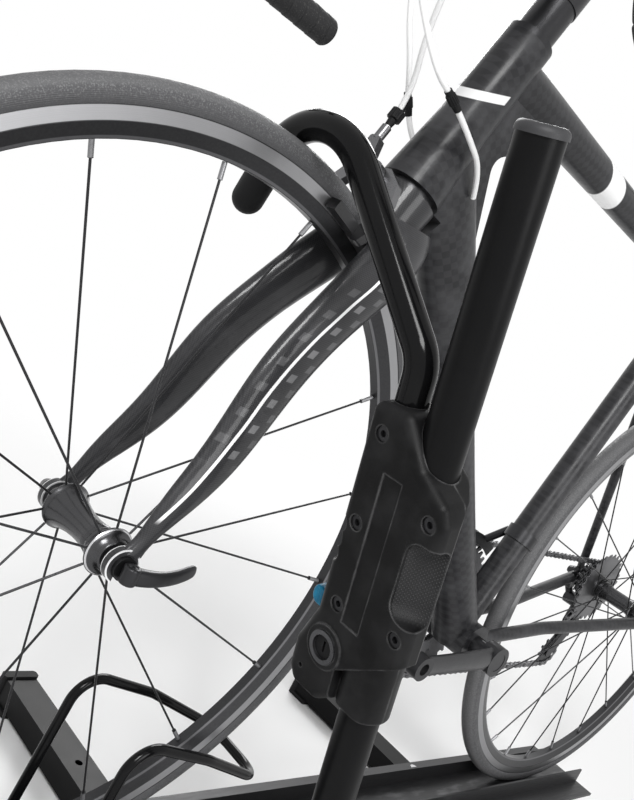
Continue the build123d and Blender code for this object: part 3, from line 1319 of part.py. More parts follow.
def carriage_body():
    """The closed carriage before it is split into its two shells."""
    outline = [(-BODY_NEAR_Y, BODY_FOOT), (COLLAR_SIDE, BODY_FOOT), (30, LOBE_FOOT), (56, LOBE_FOOT),
               (64, 292), (64, 318), (51, 352), (51, 520), (18, BODY_TOP), (-6, 492), (-30, 478),
               (-BODY_NEAR_Y, 466)]
    body = slab(Plane.YZ.offset(-BODY_HALF), outline, 2 * BODY_HALF, BODY_EDGE + 1)
    rims = body.edges().group_by(Axis.X)
    body = fillet(rims[0] + rims[-1], BODY_EDGE)
    return body + lock_rod(-BODY_HALF - LOCK_BOSS_FACE, -BODY_HALF + 10, LOCK_R + LOCK_BOSS)


def collar_room():
    """What is cut away round the collar, below the lip that climbs across the front."""
    far, low = -2 * BODY_NEAR_Y, BODY_FOOT - 20
    points = [(far, low), (COLLAR_SIDE, low), (COLLAR_SIDE, LIP_Z + LIP_SLOPE * COLLAR_SIDE),
              (far, LIP_Z + LIP_SLOPE * far)]
    around = slab(Plane.YZ.offset(-2 * BODY_HALF), points, 4 * BODY_HALF)
    return around - rod((0, 0, low - 10), (0, 0, BODY_TOP), COLLAR_R)


def back_room():
    """What is cut away at the long rear edge, to leave it round."""
    x, y = BODY_BACK_X, BODY_BACK_Y
    low, high = LOBE_FOOT - 20, BODY_TOP + 20
    corner = box((x, y - 2 * BODY_BACK_R, low), (x + 2 * BODY_BACK_R, y, high))
    return corner - rod((x, y, low - 10), (x, y, high + 10), BODY_BACK_R)


def face_rooms():
    """Sunk panel, thumb scoop, scallops and small hole of the front face."""
    face = -BODY_HALF
    panel = box((face - 5, PLATE_Y[0], PLATE_Z[0]), (face + PLATE_DEPTH, PLATE_Y[1], PLATE_Z[1]))
    scoop = rod((SCOOP_X, SCOOP_Y, SCOOP_Z[0]), (SCOOP_X, SCOOP_Y, SCOOP_Z[1]), SCOOP_R)
    scoop = fillet(scoop.edges().filter_by(GeomType.CIRCLE), SCOOP_ROUND)
    peep = rod((face - 5, PEEP_Y, PEEP_Z), (PEEP_X, PEEP_Y, PEEP_Z), PEEP_R)
    scallops = [rod((face - 5, SCALLOP_Y, z), (SCALLOP_X, SCALLOP_Y, z), SCALLOP_R) for z in SCALLOPS]
    return [panel, scoop, peep] + scallops


def carriage_rooms():
    """Everything that is cut out of the carriage."""
    low, high = CAVITY_Z
    x0, x1 = CAVITY_X
    pin_low, pin_high = LEVER_PIN_X[0] - MOUTH_SIDE, LEVER_PIN_X[1] + MOUTH_SIDE
    rooms = [rod((0, 0, 200), (0, 0, MAST_TOP), MAST_R + CLEAR),
             hook_bar(HOOK_R + SEAT_GAP),
             box((x0, 0, low), (x1, CAVITY_Y, high)),
             box((LEVER_X[0] - MOUTH_SIDE, CAVITY_Y - 1, LEVER_Z - TAB_DROP - MOUTH_TALL),
                 (LEVER_X[1] + MOUTH_SIDE, 90, LEVER_Z + MOUTH_TOP)),
             rod((pin_low, LEVER_Y, LEVER_Z), (pin_high, LEVER_Y, LEVER_Z), LEVER_PIN_R + SEAT_GAP),
             lock_rod(-60, LOCK_END + SEAT_GAP, LOCK_R + SEAT_GAP)]
    rooms += [screw_room(y, z) for y, z in SCREWS]
    return rooms + face_rooms() + [collar_room(), back_room()]


def carriage_shells():
    body = carriage_body()
    for room in carriage_rooms():
        body = body - room
    front = body & box((-100, -100, 200), (0, 150, 600))
    rear = body & box((0, -100, 200), (100, 150, 600))
    return front, rear


def release_lever():
    """A rocker with a low thumb tab outside and a finger that lifts the pawl."""
    x0, x1 = LEVER_X
    middle = LEVER_Z - TAB_DROP
    near, far = LEVER_Y + TAB_FROM, LEVER_Y + LEVER_REACH
    tab = box((x0, near, middle - LEVER_TALL), (x1, far, middle + LEVER_TALL))
    tab = fillet(tab.edges().filter_by(Axis.X).group_by(Axis.Y)[-1], LEVER_TALL - 1)
    tab = fillet(tab.faces().sort_by(Axis.Y)[-1].outer_wire().edges(), 2)
    finger = box((x0, LEVER_Y - 8, LEVER_Z - 3), (x1, LEVER_Y, LEVER_Z + 3))
    boss = rod((x0, LEVER_Y, LEVER_Z), (x1, LEVER_Y, LEVER_Z), 5)
    web = box((x0, LEVER_Y, LEVER_Z - TAB_DROP + 2), (x1, LEVER_Y + TAB_FROM + 4, LEVER_Z + 3))
    pin = rod((LEVER_PIN_X[0], LEVER_Y, LEVER_Z), (LEVER_PIN_X[1], LEVER_Y, LEVER_Z), LEVER_PIN_R)
    return tab + web + finger + boss + pin


def pawl():
    """A hooked pawl on one of the screws, its nose beside the ratchet teeth."""
    nose = MAST_R + PAWL_GAP
    y, z = SCREWS[2]
    points = [(nose, z + 18), (nose, z + 23), (nose + 4, z + 25), (y + 3.7, z + 6), (y + 3.7, z - 6),
              (y - 4, z - 8), (y - 8, z - 2)]
    body = slab(Plane.YZ.offset(-PAWL_HALF), points, 2 * PAWL_HALF)
    return body - rod((-20, y, z), (20, y, z), SCREW_R + SEAT_GAP)


def pawl_spring():
    """Stand-in sleeve for the small spring behind the pawl."""
    z = CAVITY_Z[1] - SPRING_DROP
    sleeve = rod((0, SPRING_FROM, z), (0, CAVITY_Y - SEAT_GAP, z), SPRING_R)
    return sleeve - rod((0, SPRING_FROM - 1, z), (0, CAVITY_Y, z), SPRING_R - 1)


def lock_barrel():
    bore = lock_rod(LOCK_FACE - 1, LOCK_END - LOCK_FLOOR, PLUG_R + SEAT_GAP)
    return lock_rod(LOCK_FACE, LOCK_END, LOCK_R) - bore


def lock_plug():
    plug = lock_rod(LOCK_FACE + PLUG_SINK, LOCK_END - LOCK_FLOOR - SEAT_GAP, PLUG_R)
    key = box((LOCK_FACE - 1, LOCK_Y - 1, LOCK_Z - 4.5), (LOCK_FACE + 14, LOCK_Y + 1, LOCK_Z + 4.5))
    return plug - key


def stand():
    holes = [rod((x, y, 0), (x, y, 60), TRAY_BOLT_R + SEAT_GAP) for x, y, z in bolt_places()]
    tray = wheel_tray()
    bars = [foot_bar(-BAR_X), foot_bar(BAR_X)]
    bracket = mast_bracket()
    for (x, y, z), hole in zip(bolt_places(), holes):
        upper = hole & box((-2000, -500, TRAY_Z - FOOT_BAR_WALL - 1), (2000, 500, 60))
        tray = tray - upper
        bracket = bracket - upper
        bars = [bar - upper for bar in bars]
    keep("wheel_tray", tray)
    keep("foot_bars", *bars)
    keep("foot_caps", *[foot_cap(x, side) for x in (-BAR_X, BAR_X) for side in (-1, 1)])
    keep("stand_bolts", *[stand_bolt(*place) for place in bolt_places()])
    keep("wheel_hoop", wheel_hoop())
    keep("mast_bracket", bracket)
    keep("mast_pivot_bolt", mast_pivot_bolt())
    front, rear = carriage_shells()
    on_mast = {"mast_tube": [mast_tube()], "ratchet_strip": [ratchet_strip()], "mast_cap": [mast_cap()],
               "carriage_front_shell": [front], "carriage_rear_shell": [rear],
               "carriage_screws": [screw(y, z) for y, z in SCREWS],
               "hook_tube": [hook_tube()], "hook_sleeve": [hook_sleeve()],
               "release_lever": [release_lever()], "ratchet_pawl": [pawl()], "pawl_spring": [pawl_spring()],
               "lock_barrel": [lock_barrel()], "lock_plug": [lock_plug()]}
    for name, solids in on_mast.items():
        keep(name, *[mast_place * solid for solid in solids])


if __name__ == "__main__":
    front_wheel()
    rear_wheel()
    main_frame()
    cockpit()
    brake_top = front_brake()
    rear_brake()
    keep("seatpost", seatpost())
    keep("saddle", saddle())
    drive()
    keep("cables", *cables(brake_top))
    stand()
    os.makedirs("parts", exist_ok=True)
    for node, solids in PARTS.items():
        shape = solids[0] if len(solids) == 1 else Compound(children=[Part(s.wrapped) for s in solids])
        export_step(shape, f"parts/{node}.step")
    print(len(PARTS), "nodes")
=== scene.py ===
from math import cos, pi, radians, sin

import bpy
import numpy as np
from mathutils import Matrix


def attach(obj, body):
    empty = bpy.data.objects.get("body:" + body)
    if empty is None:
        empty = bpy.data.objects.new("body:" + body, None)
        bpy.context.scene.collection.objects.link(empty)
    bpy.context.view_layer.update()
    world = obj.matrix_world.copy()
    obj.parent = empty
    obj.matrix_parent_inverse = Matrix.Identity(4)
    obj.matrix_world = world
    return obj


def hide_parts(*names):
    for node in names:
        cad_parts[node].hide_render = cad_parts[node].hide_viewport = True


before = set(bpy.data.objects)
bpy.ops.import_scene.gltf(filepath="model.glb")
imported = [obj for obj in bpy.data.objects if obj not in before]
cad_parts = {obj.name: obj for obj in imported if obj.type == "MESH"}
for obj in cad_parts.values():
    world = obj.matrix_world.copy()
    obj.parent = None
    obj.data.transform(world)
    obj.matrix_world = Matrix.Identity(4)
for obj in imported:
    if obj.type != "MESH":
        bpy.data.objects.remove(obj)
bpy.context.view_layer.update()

# Places and directions, in metres, as in the solids
MM = 0.001
SIDEWAYS = np.array((0.0, 1.0, 0.0))
UPWARD = np.array((0.0, 0.0, 1.0))
FRONT = np.array((-0.4945, 0.0, 0.37435))
REAR = np.array((0.4945, 0.0, 0.37435))
CRANK = np.array((0.0905, 0.0, 0.30435))
BAR = np.array((-0.358512, 0.0, 0.970863))
POST_TOP = np.array((0.296407, 0.0, 0.999499))
CROWN = np.array((-0.336658, 0.0, 0.714513))
STEER_LEAN = radians(18.0)
STEER_UP = np.array((sin(STEER_LEAN), 0.0, cos(STEER_LEAN)))
STEER_BACK = np.array((cos(STEER_LEAN), 0.0, -sin(STEER_LEAN)))
MAST_FOOT = np.array((-0.2666, -0.2, 0.0764))
MAST_LEAN = radians(16.7)
MAST_X = np.array((cos(MAST_LEAN), 0.0, sin(MAST_LEAN)))
MAST_Z = np.array((-sin(MAST_LEAN), 0.0, cos(MAST_LEAN)))

# Wheels
TYRE_R = 0.334
RIM_R = 0.3165
TRACK_DEPTH = 0.0108
RIM_DEPTH = 0.0227
NIPPLE_R = 0.2806               # where the nipples begin
# Painted highlight: the band on the flange edges, this far from the wheel's middle plane
FLANGE_HIGHLIGHT = (0.0359, 0.0366)  # from the wheel's middle plane
FRONT_HALF, REAR_HALF = 0.05, 0.065
FRONT_QR_Y, REAR_QR_Y = -0.06785, -0.08285

# Routes of the cable housings, in millimetres from the middle of the handlebar
BRAKE_ROUTE = np.array((
    (-12.35, -76, 0), (-40, -78, -4), (-66, -62, -26), (-72, -32, -76), (-38.1, 1.5, -139.8),
    (-2.3, 21.5, -183.3), (-12.0, 21.5, -213.4))) * MM
LEFT_ROUTE = np.array((
    (-12.35, 76, 0), (-38, 76, -4), (-64, 56, -36), (-72, 14, -100), (-47, -30, -168),
    (-15, -36, -180.4), (20.2, -38, -196.7), (53.4, -34, -209.8), (71.7, -25.8, -230.2))) * MM
RIGHT_ROUTE = np.array((
    (-12.35, 62, 0), (-36, 62, -3), (-40, 58, -60), (-22, 48, -120), (-1.3, 40, -156.7),
    (20, 44, -183.3), (38, 34, -210.7), (71.7, 25.8, -230.2))) * MM
ADJUSTER_AT = 5                 # point of a gear housing's route with the adjuster
BRAKE_ADJUSTER_BACK, BRAKE_ADJUSTER_SWELL = 0.010, 0.0022
HOUSING_R = 0.0025

# Camera and light
SENSOR, LENS = 36.0, 41.48
EYE = FRONT + (-0.4245, -0.5403, 0.2553)
EYE_RIGHT = (0.6450, -0.6263, 0.4379)
EYE_UP = (-0.2110, 0.4049, 0.8897)
EYE_BACK = (-0.7345, -0.6662, 0.1290)
AMBIENT = 0.16
# name, place, aim, size and power
LAMPS = (("key", (-2.2, -1.9, 2.6), (-0.3, -0.1, 0.5), (1.0, 1.3), 105),
         ("fill", (-0.2, -3.0, 1.1), (0.0, 0.0, 0.5), (1.2, 1.4), 34),
         ("back", (1.6, 2.2, 2.4), (0.0, 0.0, 0.5), (1.8, 1.2), 74))
FLOOR_R, FLOOR_Z, FLOOR_SIDES = 30, -0.0005, 96
FADE_NEAR, FADE_FAR = 0.9, 2.2


def unit(vectors):
    """Vectors brought to length 1."""
    vectors = np.asarray(vectors, float)
    return vectors / np.linalg.norm(vectors, axis=-1, keepdims=True)


def full_turn(count):
    """Even angles round a circle."""
    return np.linspace(0, 2 * pi, count + 1)[:-1]


def linked(name, data):
    """A new object of the scene."""
    thing = bpy.data.objects.new(name, data)
    bpy.context.scene.collection.objects.link(thing)
    return thing


def placed(thing, place, *axes):
    """Put an object at a place with its x, y and z axes along the given ones."""
    thing.matrix_world = Matrix.Translation(tuple(place)) @ Matrix(axes).transposed().to_4x4()


def camera():
    """The photograph's camera: a place, and three axes found from the ellipse of the front wheel."""
    data = bpy.data.cameras.new("photo_camera")
    data.sensor_width = SENSOR
    data.lens = LENS
    data.clip_start = 0.02
    eye = linked("photo_camera", data)
    placed(eye, EYE, EYE_RIGHT, EYE_UP, EYE_BACK)
    bpy.context.scene.camera = eye


def lamp(name, place, aim, size, power):
    data = bpy.data.lights.new(name, "AREA")
    data.shape = "RECTANGLE"
    data.size, data.size_y = size
    data.energy = power
    back = unit(np.array(place, float) - np.array(aim, float))
    side = unit(np.cross(UPWARD, back))
    placed(linked(name, data), place, side, np.cross(back, side), back)


def light():
    """A world that is white to the eye and in mirrors but dim as a light, and three lamps."""
    world = bpy.data.worlds.new("studio")
    world.use_nodes = True
    bpy.context.scene.world = world
    tree = world.node_tree
    ground = tree.nodes["Background"]
    ground.inputs["Color"].default_value = (1, 1, 1, 1)
    ray = tree.nodes.new("ShaderNodeLightPath")
    seen = ray.outputs["Is Camera Ray"]
    for kind in ("Is Transmission Ray", "Is Glossy Ray"):
        either = tree.nodes.new("ShaderNodeMath")
        either.operation = "MAXIMUM"
        tree.links.new(seen, either.inputs[0])
        tree.links.new(ray.outputs[kind], either.inputs[1])
        seen = either.outputs[0]
    level = tree.nodes.new("ShaderNodeMapRange")
    level.inputs["To Min"].default_value = AMBIENT
    tree.links.new(seen, level.inputs["Value"])
    tree.links.new(level.outputs["Result"], ground.inputs["Strength"])
    for values in LAMPS:
        lamp(*values)


def floor():
    """A wide disc that shades near the stand and fades to white far out."""
    turn = full_turn(FLOOR_SIDES)
    edge = np.stack((FLOOR_R * np.cos(turn), FLOOR_R * np.sin(turn), 0 * turn + FLOOR_Z), axis=1)
    mesh = bpy.data.meshes.new("floor")
    mesh.from_pydata(edge.tolist(), [], [tuple(range(FLOOR_SIDES))])
    disc = linked("floor", mesh)
    made = Finish("pale_floor", 0.9)
    made.colour((*grey(0.93), 1.0))
    glow = made.node("ShaderNodeEmission")
    fade = made.step(made.vector("LENGTH", made.spot), FADE_NEAR, FADE_FAR)
    both = made.node("ShaderNodeMixShader", fade, made.shader.outputs[0], glow.outputs[0])
    made.feed(made.tree.nodes["Material Output"].inputs["Surface"], both.outputs[0])
    mesh.materials.append(made.material)


# Finishes
def grey(level, blue=None):
    """A grey, or one with a blue part of its own."""
    return level, level, level if blue is None else blue


class Finish:
    """A node material with short ways to add and join nodes."""

    def __init__(self, name, rough=0.5, metal=0.0, coat=0.0, shine=0.5):
        self.material = bpy.data.materials.new(name)
        self.material.use_nodes = True
        self.tree = self.material.node_tree
        self.shader = self.tree.nodes["Principled BSDF"]
        for key, value in (("Roughness", rough), ("Metallic", metal), ("Coat Weight", coat),
                           ("Specular IOR Level", shine)):
            self.set(key, value)
        self.spot = self.node("ShaderNodeTexCoord").outputs["Object"]

    def node(self, kind, *values, **settings):
        """A new node with its settings made and its first inputs fed."""
        made = self.tree.nodes.new(kind)
        for key, value in settings.items():
            setattr(made, key, value)
        for socket, value in zip(made.inputs, values):
            self.feed(socket, value)
        return made

    def feed(self, socket, value):
        """Join an output to a socket, or set a plain value there."""
        if isinstance(value, bpy.types.NodeSocket):
            self.tree.links.new(value, socket)
        else:
            socket.default_value = value

    def set(self, key, value):
        self.feed(self.shader.inputs[key], value)

    def colour(self, value):
        self.set("Base Color", value)

    def rough(self, value):
        self.set("Roughness", value)

    def maths(self, operation, *values):
        return self.node("ShaderNodeMath", *values, operation=operation).outputs[0]

    def times(self, value, *others):
        """The product of all the values."""
        for other in others:
            value = self.maths("MULTIPLY", value, other)
        return value

    def wave(self, value, rate):
        """The sine of rate times the value."""
        return self.maths("SINE", self.times(value, rate))

    def weave(self, x, z, rate):
        """Two crossed waves, slanted in x and z."""
        return self.times(self.wave(self.maths("ADD", x, z), rate),
                          self.wave(self.maths("SUBTRACT", x, z), rate))

    def vector(self, operation, *values):
        made = self.node("ShaderNodeVectorMath", *values, operation=operation)
        return made.outputs["Value" if operation in ("LENGTH", "DOT_PRODUCT") else "Vector"]

    def from_place(self, place):
        return self.vector("SUBTRACT", self.spot, tuple(place))

    def along(self, vector, axis):
        return self.vector("DOT_PRODUCT", vector, tuple(axis))

    def normal(self):
        return self.node("ShaderNodeNewGeometry").outputs["Normal"]

    def parts(self, value):
        return self.node("ShaderNodeSeparateXYZ", value).outputs

    def join(self, x, y, z):
        return self.node("ShaderNodeCombineXYZ", x, y, z).outputs[0]

    def around(self, centre):
        """Distance from a wheel's axis, distance along it from the wheel's middle plane, and angle."""
        x, y, z = self.parts(self.from_place(centre))
        return self.vector("LENGTH", self.join(x, 0.0, z)), y, self.maths("ARCTAN2", z, x)

    def step(self, value, start, end, low=0.0, high=1.0):
        """A smooth change from low at the value start to high at the value end."""
        made = self.node("ShaderNodeMapRange", interpolation_type="SMOOTHSTEP")
        self.feed(made.inputs["Value"], value)
        for key, number in (("From Min", start), ("From Max", end), ("To Min", low), ("To Max", high)):
            made.inputs[key].default_value = number
        return made.outputs["Result"]

    def band(self, value, low, high, edge):
        """1 where the value lies between low and high, with soft edges."""
        return self.times(self.step(value, low - edge, low + edge),
                          self.step(value, high + edge, high - edge))

    def curve(self, value, pairs):
        """A smooth curve through (input, output) pairs, both between 0 and 1."""
        made = self.node("ShaderNodeFloatCurve")
        line = made.mapping.curves[0]
        line.points[0].location, line.points[1].location = pairs[0], pairs[-1]
        for pair in pairs[1:-1]:
            line.points.new(*pair)
        made.mapping.update()
        self.feed(made.inputs["Value"], value)
        return made.outputs[0]

    def noise(self, grain, place=None, detail=4.0, stretch=(1, 1, 1)):
        """Noise whose lumps are about grain metres wide."""
        made = self.node("ShaderNodeTexNoise")
        scale = tuple(s / grain for s in stretch)
        self.feed(made.inputs["Vector"], self.vector("MULTIPLY", place or self.spot, scale))
        made.inputs["Scale"].default_value = 1.0
        made.inputs["Detail"].default_value = detail
        return made.outputs["Fac"]

    def cells(self, count):
        """Distance from the middle of small cells, count of them to a metre."""
        made = self.node("ShaderNodeTexVoronoi")
        self.feed(made.inputs["Vector"], self.vector("MULTIPLY", self.spot, (count, count, count)))
        made.inputs["Scale"].default_value = 1.0
        return made.outputs["Distance"]

    def blend(self, amount, first, second):
        """A colour between two colours."""
        made = self.node("ShaderNodeMix", data_type="RGBA")
        self.feed(made.inputs["Factor"], amount)
        for socket, value in ((made.inputs[6], first), (made.inputs[7], second)):
            self.feed(socket, value if isinstance(value, bpy.types.NodeSocket) else (*value, 1.0))
        return made.outputs[2]

    def bump(self, height, depth, strength=0.6):
        """Lift the surface by height times depth metres, over any bump made before."""
        made = self.node("ShaderNodeBump")
        made.inputs["Strength"].default_value = strength
        made.inputs["Distance"].default_value = depth
        self.feed(made.inputs["Height"], height)
        socket = self.shader.inputs["Normal"]
        if socket.is_linked:
            self.tree.links.new(socket.links[0].from_socket, made.inputs["Normal"])
        self.tree.links.new(made.outputs["Normal"], socket)


# Painted highlight: the pale grey of glints on the edges of dark metal
PAINTED_HIGHLIGHT = grey(0.72, 0.73)
TURNING = 0.0003                # width of a lathe's turning marks


def grained(name, colour, rough, grain, depth, vary=0.2, metal=0.0, shine=0.5):
    """One colour whose brightness and gloss follow noise of two sizes; the finer also lifts the surface."""
    made = Finish(name, rough, metal, shine=shine)
    fine = made.noise(grain)
    wide = made.noise(grain * 40, detail=3.0)
    both = made.maths("ADD", made.times(fine, 0.6), made.times(wide, 0.4))
    dark = tuple(c * (1 - vary) for c in colour)
    pale = tuple(min(1.0, c * (1 + vary) + 0.004) for c in colour)
    made.colour(made.blend(both, dark, pale))
    made.rough(made.step(both, 0.3, 0.7, rough * 0.85, min(1.0, rough * 1.15)))
    made.bump(fine, depth)
    return made


def tyre_rubber(name, centre):
    """Grey rubber: a smooth tread with fine slanted cuts, sidewalls with thin moulded rings, and dust.

    The cuts are the sine of an angle round the wheel plus a distance from its middle plane. The dust's
    specks thin out down the sidewalls.
    """
    cuts_round, cuts_slant, wall_rings = 520.0, 900.0, 5200.0
    tread_start, tread_full = TYRE_R - 0.0075, TYRE_R - 0.0045
    wall_low, wall_high = TYRE_R - 0.0155, TYRE_R - 0.0085
    dust_low, dust_high = TYRE_R - 0.016, TYRE_R - 0.006
    made = Finish(name, 0.62, shine=0.3)
    radius, side, angle = made.around(centre)
    slant = made.times(made.maths("ABSOLUTE", side), cuts_slant)
    cuts = made.maths("SINE", made.maths("ADD", made.times(angle, cuts_round), slant))
    tread = made.step(radius, tread_start, tread_full)
    wall = made.band(radius, wall_low, wall_high, 0.0008)
    height = made.maths("ADD", made.times(made.step(cuts, 0.55, 0.95), tread, -0.6),
                        made.times(made.wave(radius, wall_rings), 0.3, wall))
    dust = made.noise(0.004)
    speck = made.step(made.noise(0.0011, detail=3.0), 0.46, 0.70)
    base = made.blend(made.times(tread, made.step(dust, 0.2, 0.9, 0.75, 1.0)),
                      grey(0.066, 0.069), grey(0.105, 0.108))
    dusty = made.step(radius, dust_low, dust_high, 0.2, 1.0)
    made.colour(made.blend(made.times(speck, dusty), base, grey(0.15, 0.152)))
    made.rough(made.step(dust, 0.3, 0.7, 0.5, 0.72))
    made.bump(made.noise(0.0006), 0.00015)
    made.bump(height, 0.0004)
    return made.material


def rim_finish(name, centre):
    """Dark anodised rim with a pale machined brake track that keeps its fine turning marks, and a painted
    highlight band along the inner edge.
    """
    made = Finish(name, 0.35, 0.85)
    radius = made.around(centre)[0]
    lines = made.noise(0.00022, made.join(radius, 0.0, 0.0), detail=2.0)
    track = made.band(radius, RIM_R - TRACK_DEPTH + 0.0006, RIM_R - 0.0008, 0.0002)
    machined = made.blend(lines, grey(0.20, 0.205), grey(0.38, 0.39))
    body = made.blend(made.noise(0.002), grey(0.030, 0.032), grey(0.050, 0.052))
    # Painted highlight: a paler band along the rim's inner edge
    inner_r = RIM_R - RIM_DEPTH
    edge = made.band(radius, inner_r + 0.0004, inner_r + 0.0026, 0.0003)
    body = made.blend(edge, body, grey(0.13, 0.135))
    made.colour(made.blend(track, body, machined))
    made.rough(made.maths("ADD", 0.26, made.times(lines, 0.16)))
    made.bump(made.times(lines, track), 0.00006)
    return made.material


def hub_metal(name, centre):
    """Metal turned on a lathe about a wheel's axis: fine rings, and a painted highlight on the edge of each
    flange.
    """
    colour, rough = grey(0.075, 0.078), 0.22
    made = Finish(name, rough, 0.9)
    radius, side, _ = made.around(centre)
    lines = made.noise(TURNING, made.join(radius, side, 0.0), detail=2.0)
    edge = made.band(made.maths("ABSOLUTE", side), *FLANGE_HIGHLIGHT, 0.0001)
    ringed = made.blend(lines, tuple(c * 0.75 for c in colour), colour)
    # painted highlight: a pale band on each flange's edge
    made.colour(made.blend(edge, ringed, grey(0.55, 0.56)))
    made.rough(made.step(lines, 0.3, 0.7, rough * 0.8, rough * 1.25))
    made.bump(lines, 0.00004)
    return made.material


def axle_metal(name, centre, half):
    """Dark metal about a wheel's axis with a thin painted highlight ring at either edge of each end nut."""
    made = Finish(name, 0.3, 0.8)
    radius, side, _ = made.around(centre)
    reach = made.maths("ABSOLUTE", side)
    lines = made.noise(TURNING, made.join(radius, side, 0.0), detail=2.0)
    # painted highlight: bright rings at the edges of each end nut
    edges = made.maths("MAXIMUM", made.band(reach, half - 0.0009, half - 0.0002, 0.0001),
                       made.band(reach, half - 0.0048, half - 0.0041, 0.0001))
    dark = made.blend(lines, grey(0.022, 0.023), grey(0.040, 0.042))
    made.colour(made.blend(edges, dark, PAINTED_HIGHLIGHT))
    made.bump(lines, 0.00004)
    return made.material


def brake_metal(name, centre):
    """Grey cast metal, and black rubber where the shoe reaches down beside the rim."""
    metal = 0.9
    made = grained(name, grey(0.15, 0.155), 0.3, 0.0007, 0.00003, metal=metal)
    cast = made.shader.inputs["Base Color"].links[0].from_socket
    arm = made.step(made.around(centre)[0], RIM_R + 0.0003, RIM_R + 0.0011)
    made.colour(made.blend(arm, grey(0.010, 0.011), cast))
    made.set("Metallic", made.times(arm, metal))
    return made.material


def spoke_steel(name, centre):
    """Black steel with slow changes of tone along each spoke, and bare metal nipples near the rim."""
    made = Finish(name, 0.32, 0.7)
    radius = made.around(centre)[0]
    tone = made.noise(0.02, detail=2.0)
    dark = made.blend(tone, grey(0.016, 0.017), grey(0.030, 0.032))
    bare = made.blend(tone, grey(0.17, 0.175), grey(0.30, 0.31))
    made.colour(made.blend(made.step(radius, NIPPLE_R, NIPPLE_R + 0.0005), dark, bare))
    made.rough(made.step(tone, 0.3, 0.7, 0.26, 0.4))
    return made.material


# A fork leg's middle line, height over the axle and distance behind it, and their range, in millimetres
LEG = ((8, 3.5), (40, 21), (76, 41), (121, 59), (158, 70.5), (195, 87), (235, 112), (276, 139),
       (318, 153))
LEG_TALL, LEG_DEEP = 340, 200
# Columns of squares: place across the leg, start along it, and strength
SQUARES = ((-0.0170, 0.013, 0.3), (0.0015, 0.0, 0.85), (0.0125, 0.012, 0.4))
SQUARE_PITCH, SQUARE_SPAN, SQUARE_HALF = 0.0230, (0.0060, 0.0128), 0.0036
SQUARES_Z, LINE_Z, LINE_ACROSS = (0.095, 0.26), (0.040, 0.3), (-0.0094, -0.0064)
# A dropout's two faces from the middle plane, and its rim
DROPOUT_IN, DROPOUT_OUT, DROPOUT_RIM = (0.0500, 0.0508), (0.0562, 0.0571), (0.0128, 0.0142)


def fork_carbon():
    """Clear-coated carbon: a fine twill, and on each leg's outer face a white line beside grey squares.

    The distance across a leg is x minus the leg's own middle at that height. The line is a band of that
    distance; the squares repeat along the height, in three columns. The outer face is where the surface
    points away from the middle plane. The two edges of each round dropout carry a painted highlight.
    """
    made = Finish("fork_carbon", 0.3, 0.0, 0.25, 0.15)
    made.set("Coat Roughness", 0.08)
    x, y, z = made.parts(made.from_place(FRONT))
    tilt = made.parts(made.normal())[1]
    outer = made.step(made.times(made.maths("SIGN", y), tilt), 0.0, 0.15)
    share = made.times(z, 1 / (LEG_TALL * MM))
    middle = made.curve(share, [(h / LEG_TALL, w / LEG_DEEP) for h, w in LEG])
    across = made.maths("SUBTRACT", x, made.times(middle, LEG_DEEP * MM))
    twill = made.weave(x, z, 2100.0)
    base = made.blend(made.step(twill, -0.4, 0.4), grey(0.020, 0.0215), grey(0.034, 0.036))
    cloud = made.noise(0.03)
    base = made.blend(made.step(cloud, 0.45, 0.75, 0.0, 0.6), base, grey(0.050, 0.053))
    squares = 0.0
    for column, start, strength in SQUARES:
        turn = made.maths("WRAP", made.maths("ADD", z, start), SQUARE_PITCH, 0.0)
        one = made.times(made.band(turn, *SQUARE_SPAN, 0.0005),
                         made.band(across, column - SQUARE_HALF, column + SQUARE_HALF, 0.0005))
        squares = made.maths("MAXIMUM", squares, made.times(one, strength))
    patch = made.times(squares, made.band(z, *SQUARES_Z, 0.012), outer,
                       made.step(cloud, 0.2, 0.5, 0.5, 1.0))
    base = made.blend(patch, base, grey(0.19, 0.195))
    line = made.times(made.band(across, *LINE_ACROSS, 0.0003), made.band(z, *LINE_Z, 0.004), outer)
    base = made.blend(line, base, grey(0.86))
    radius, reach = made.vector("LENGTH", made.join(x, 0.0, z)), made.maths("ABSOLUTE", y)
    # painted highlight: bright rings on both edges of each dropout
    faces = made.maths("MAXIMUM", made.band(reach, *DROPOUT_IN, 0.0001),
                       made.band(reach, *DROPOUT_OUT, 0.0001))
    rings = made.times(faces, made.band(radius, *DROPOUT_RIM, 0.0002))
    made.colour(made.blend(rings, base, PAINTED_HIGHLIGHT))
    made.bump(twill, 0.00003)
    return made.material


# White flashes: the top tube's between two slopes above a height, the head tube's between two slants
TOP_FLASH, TOP_FLASH_Z, HEAD_FLASH = (0.199, 0.234), (0.78, 0.785), (0.1088, 0.1182)


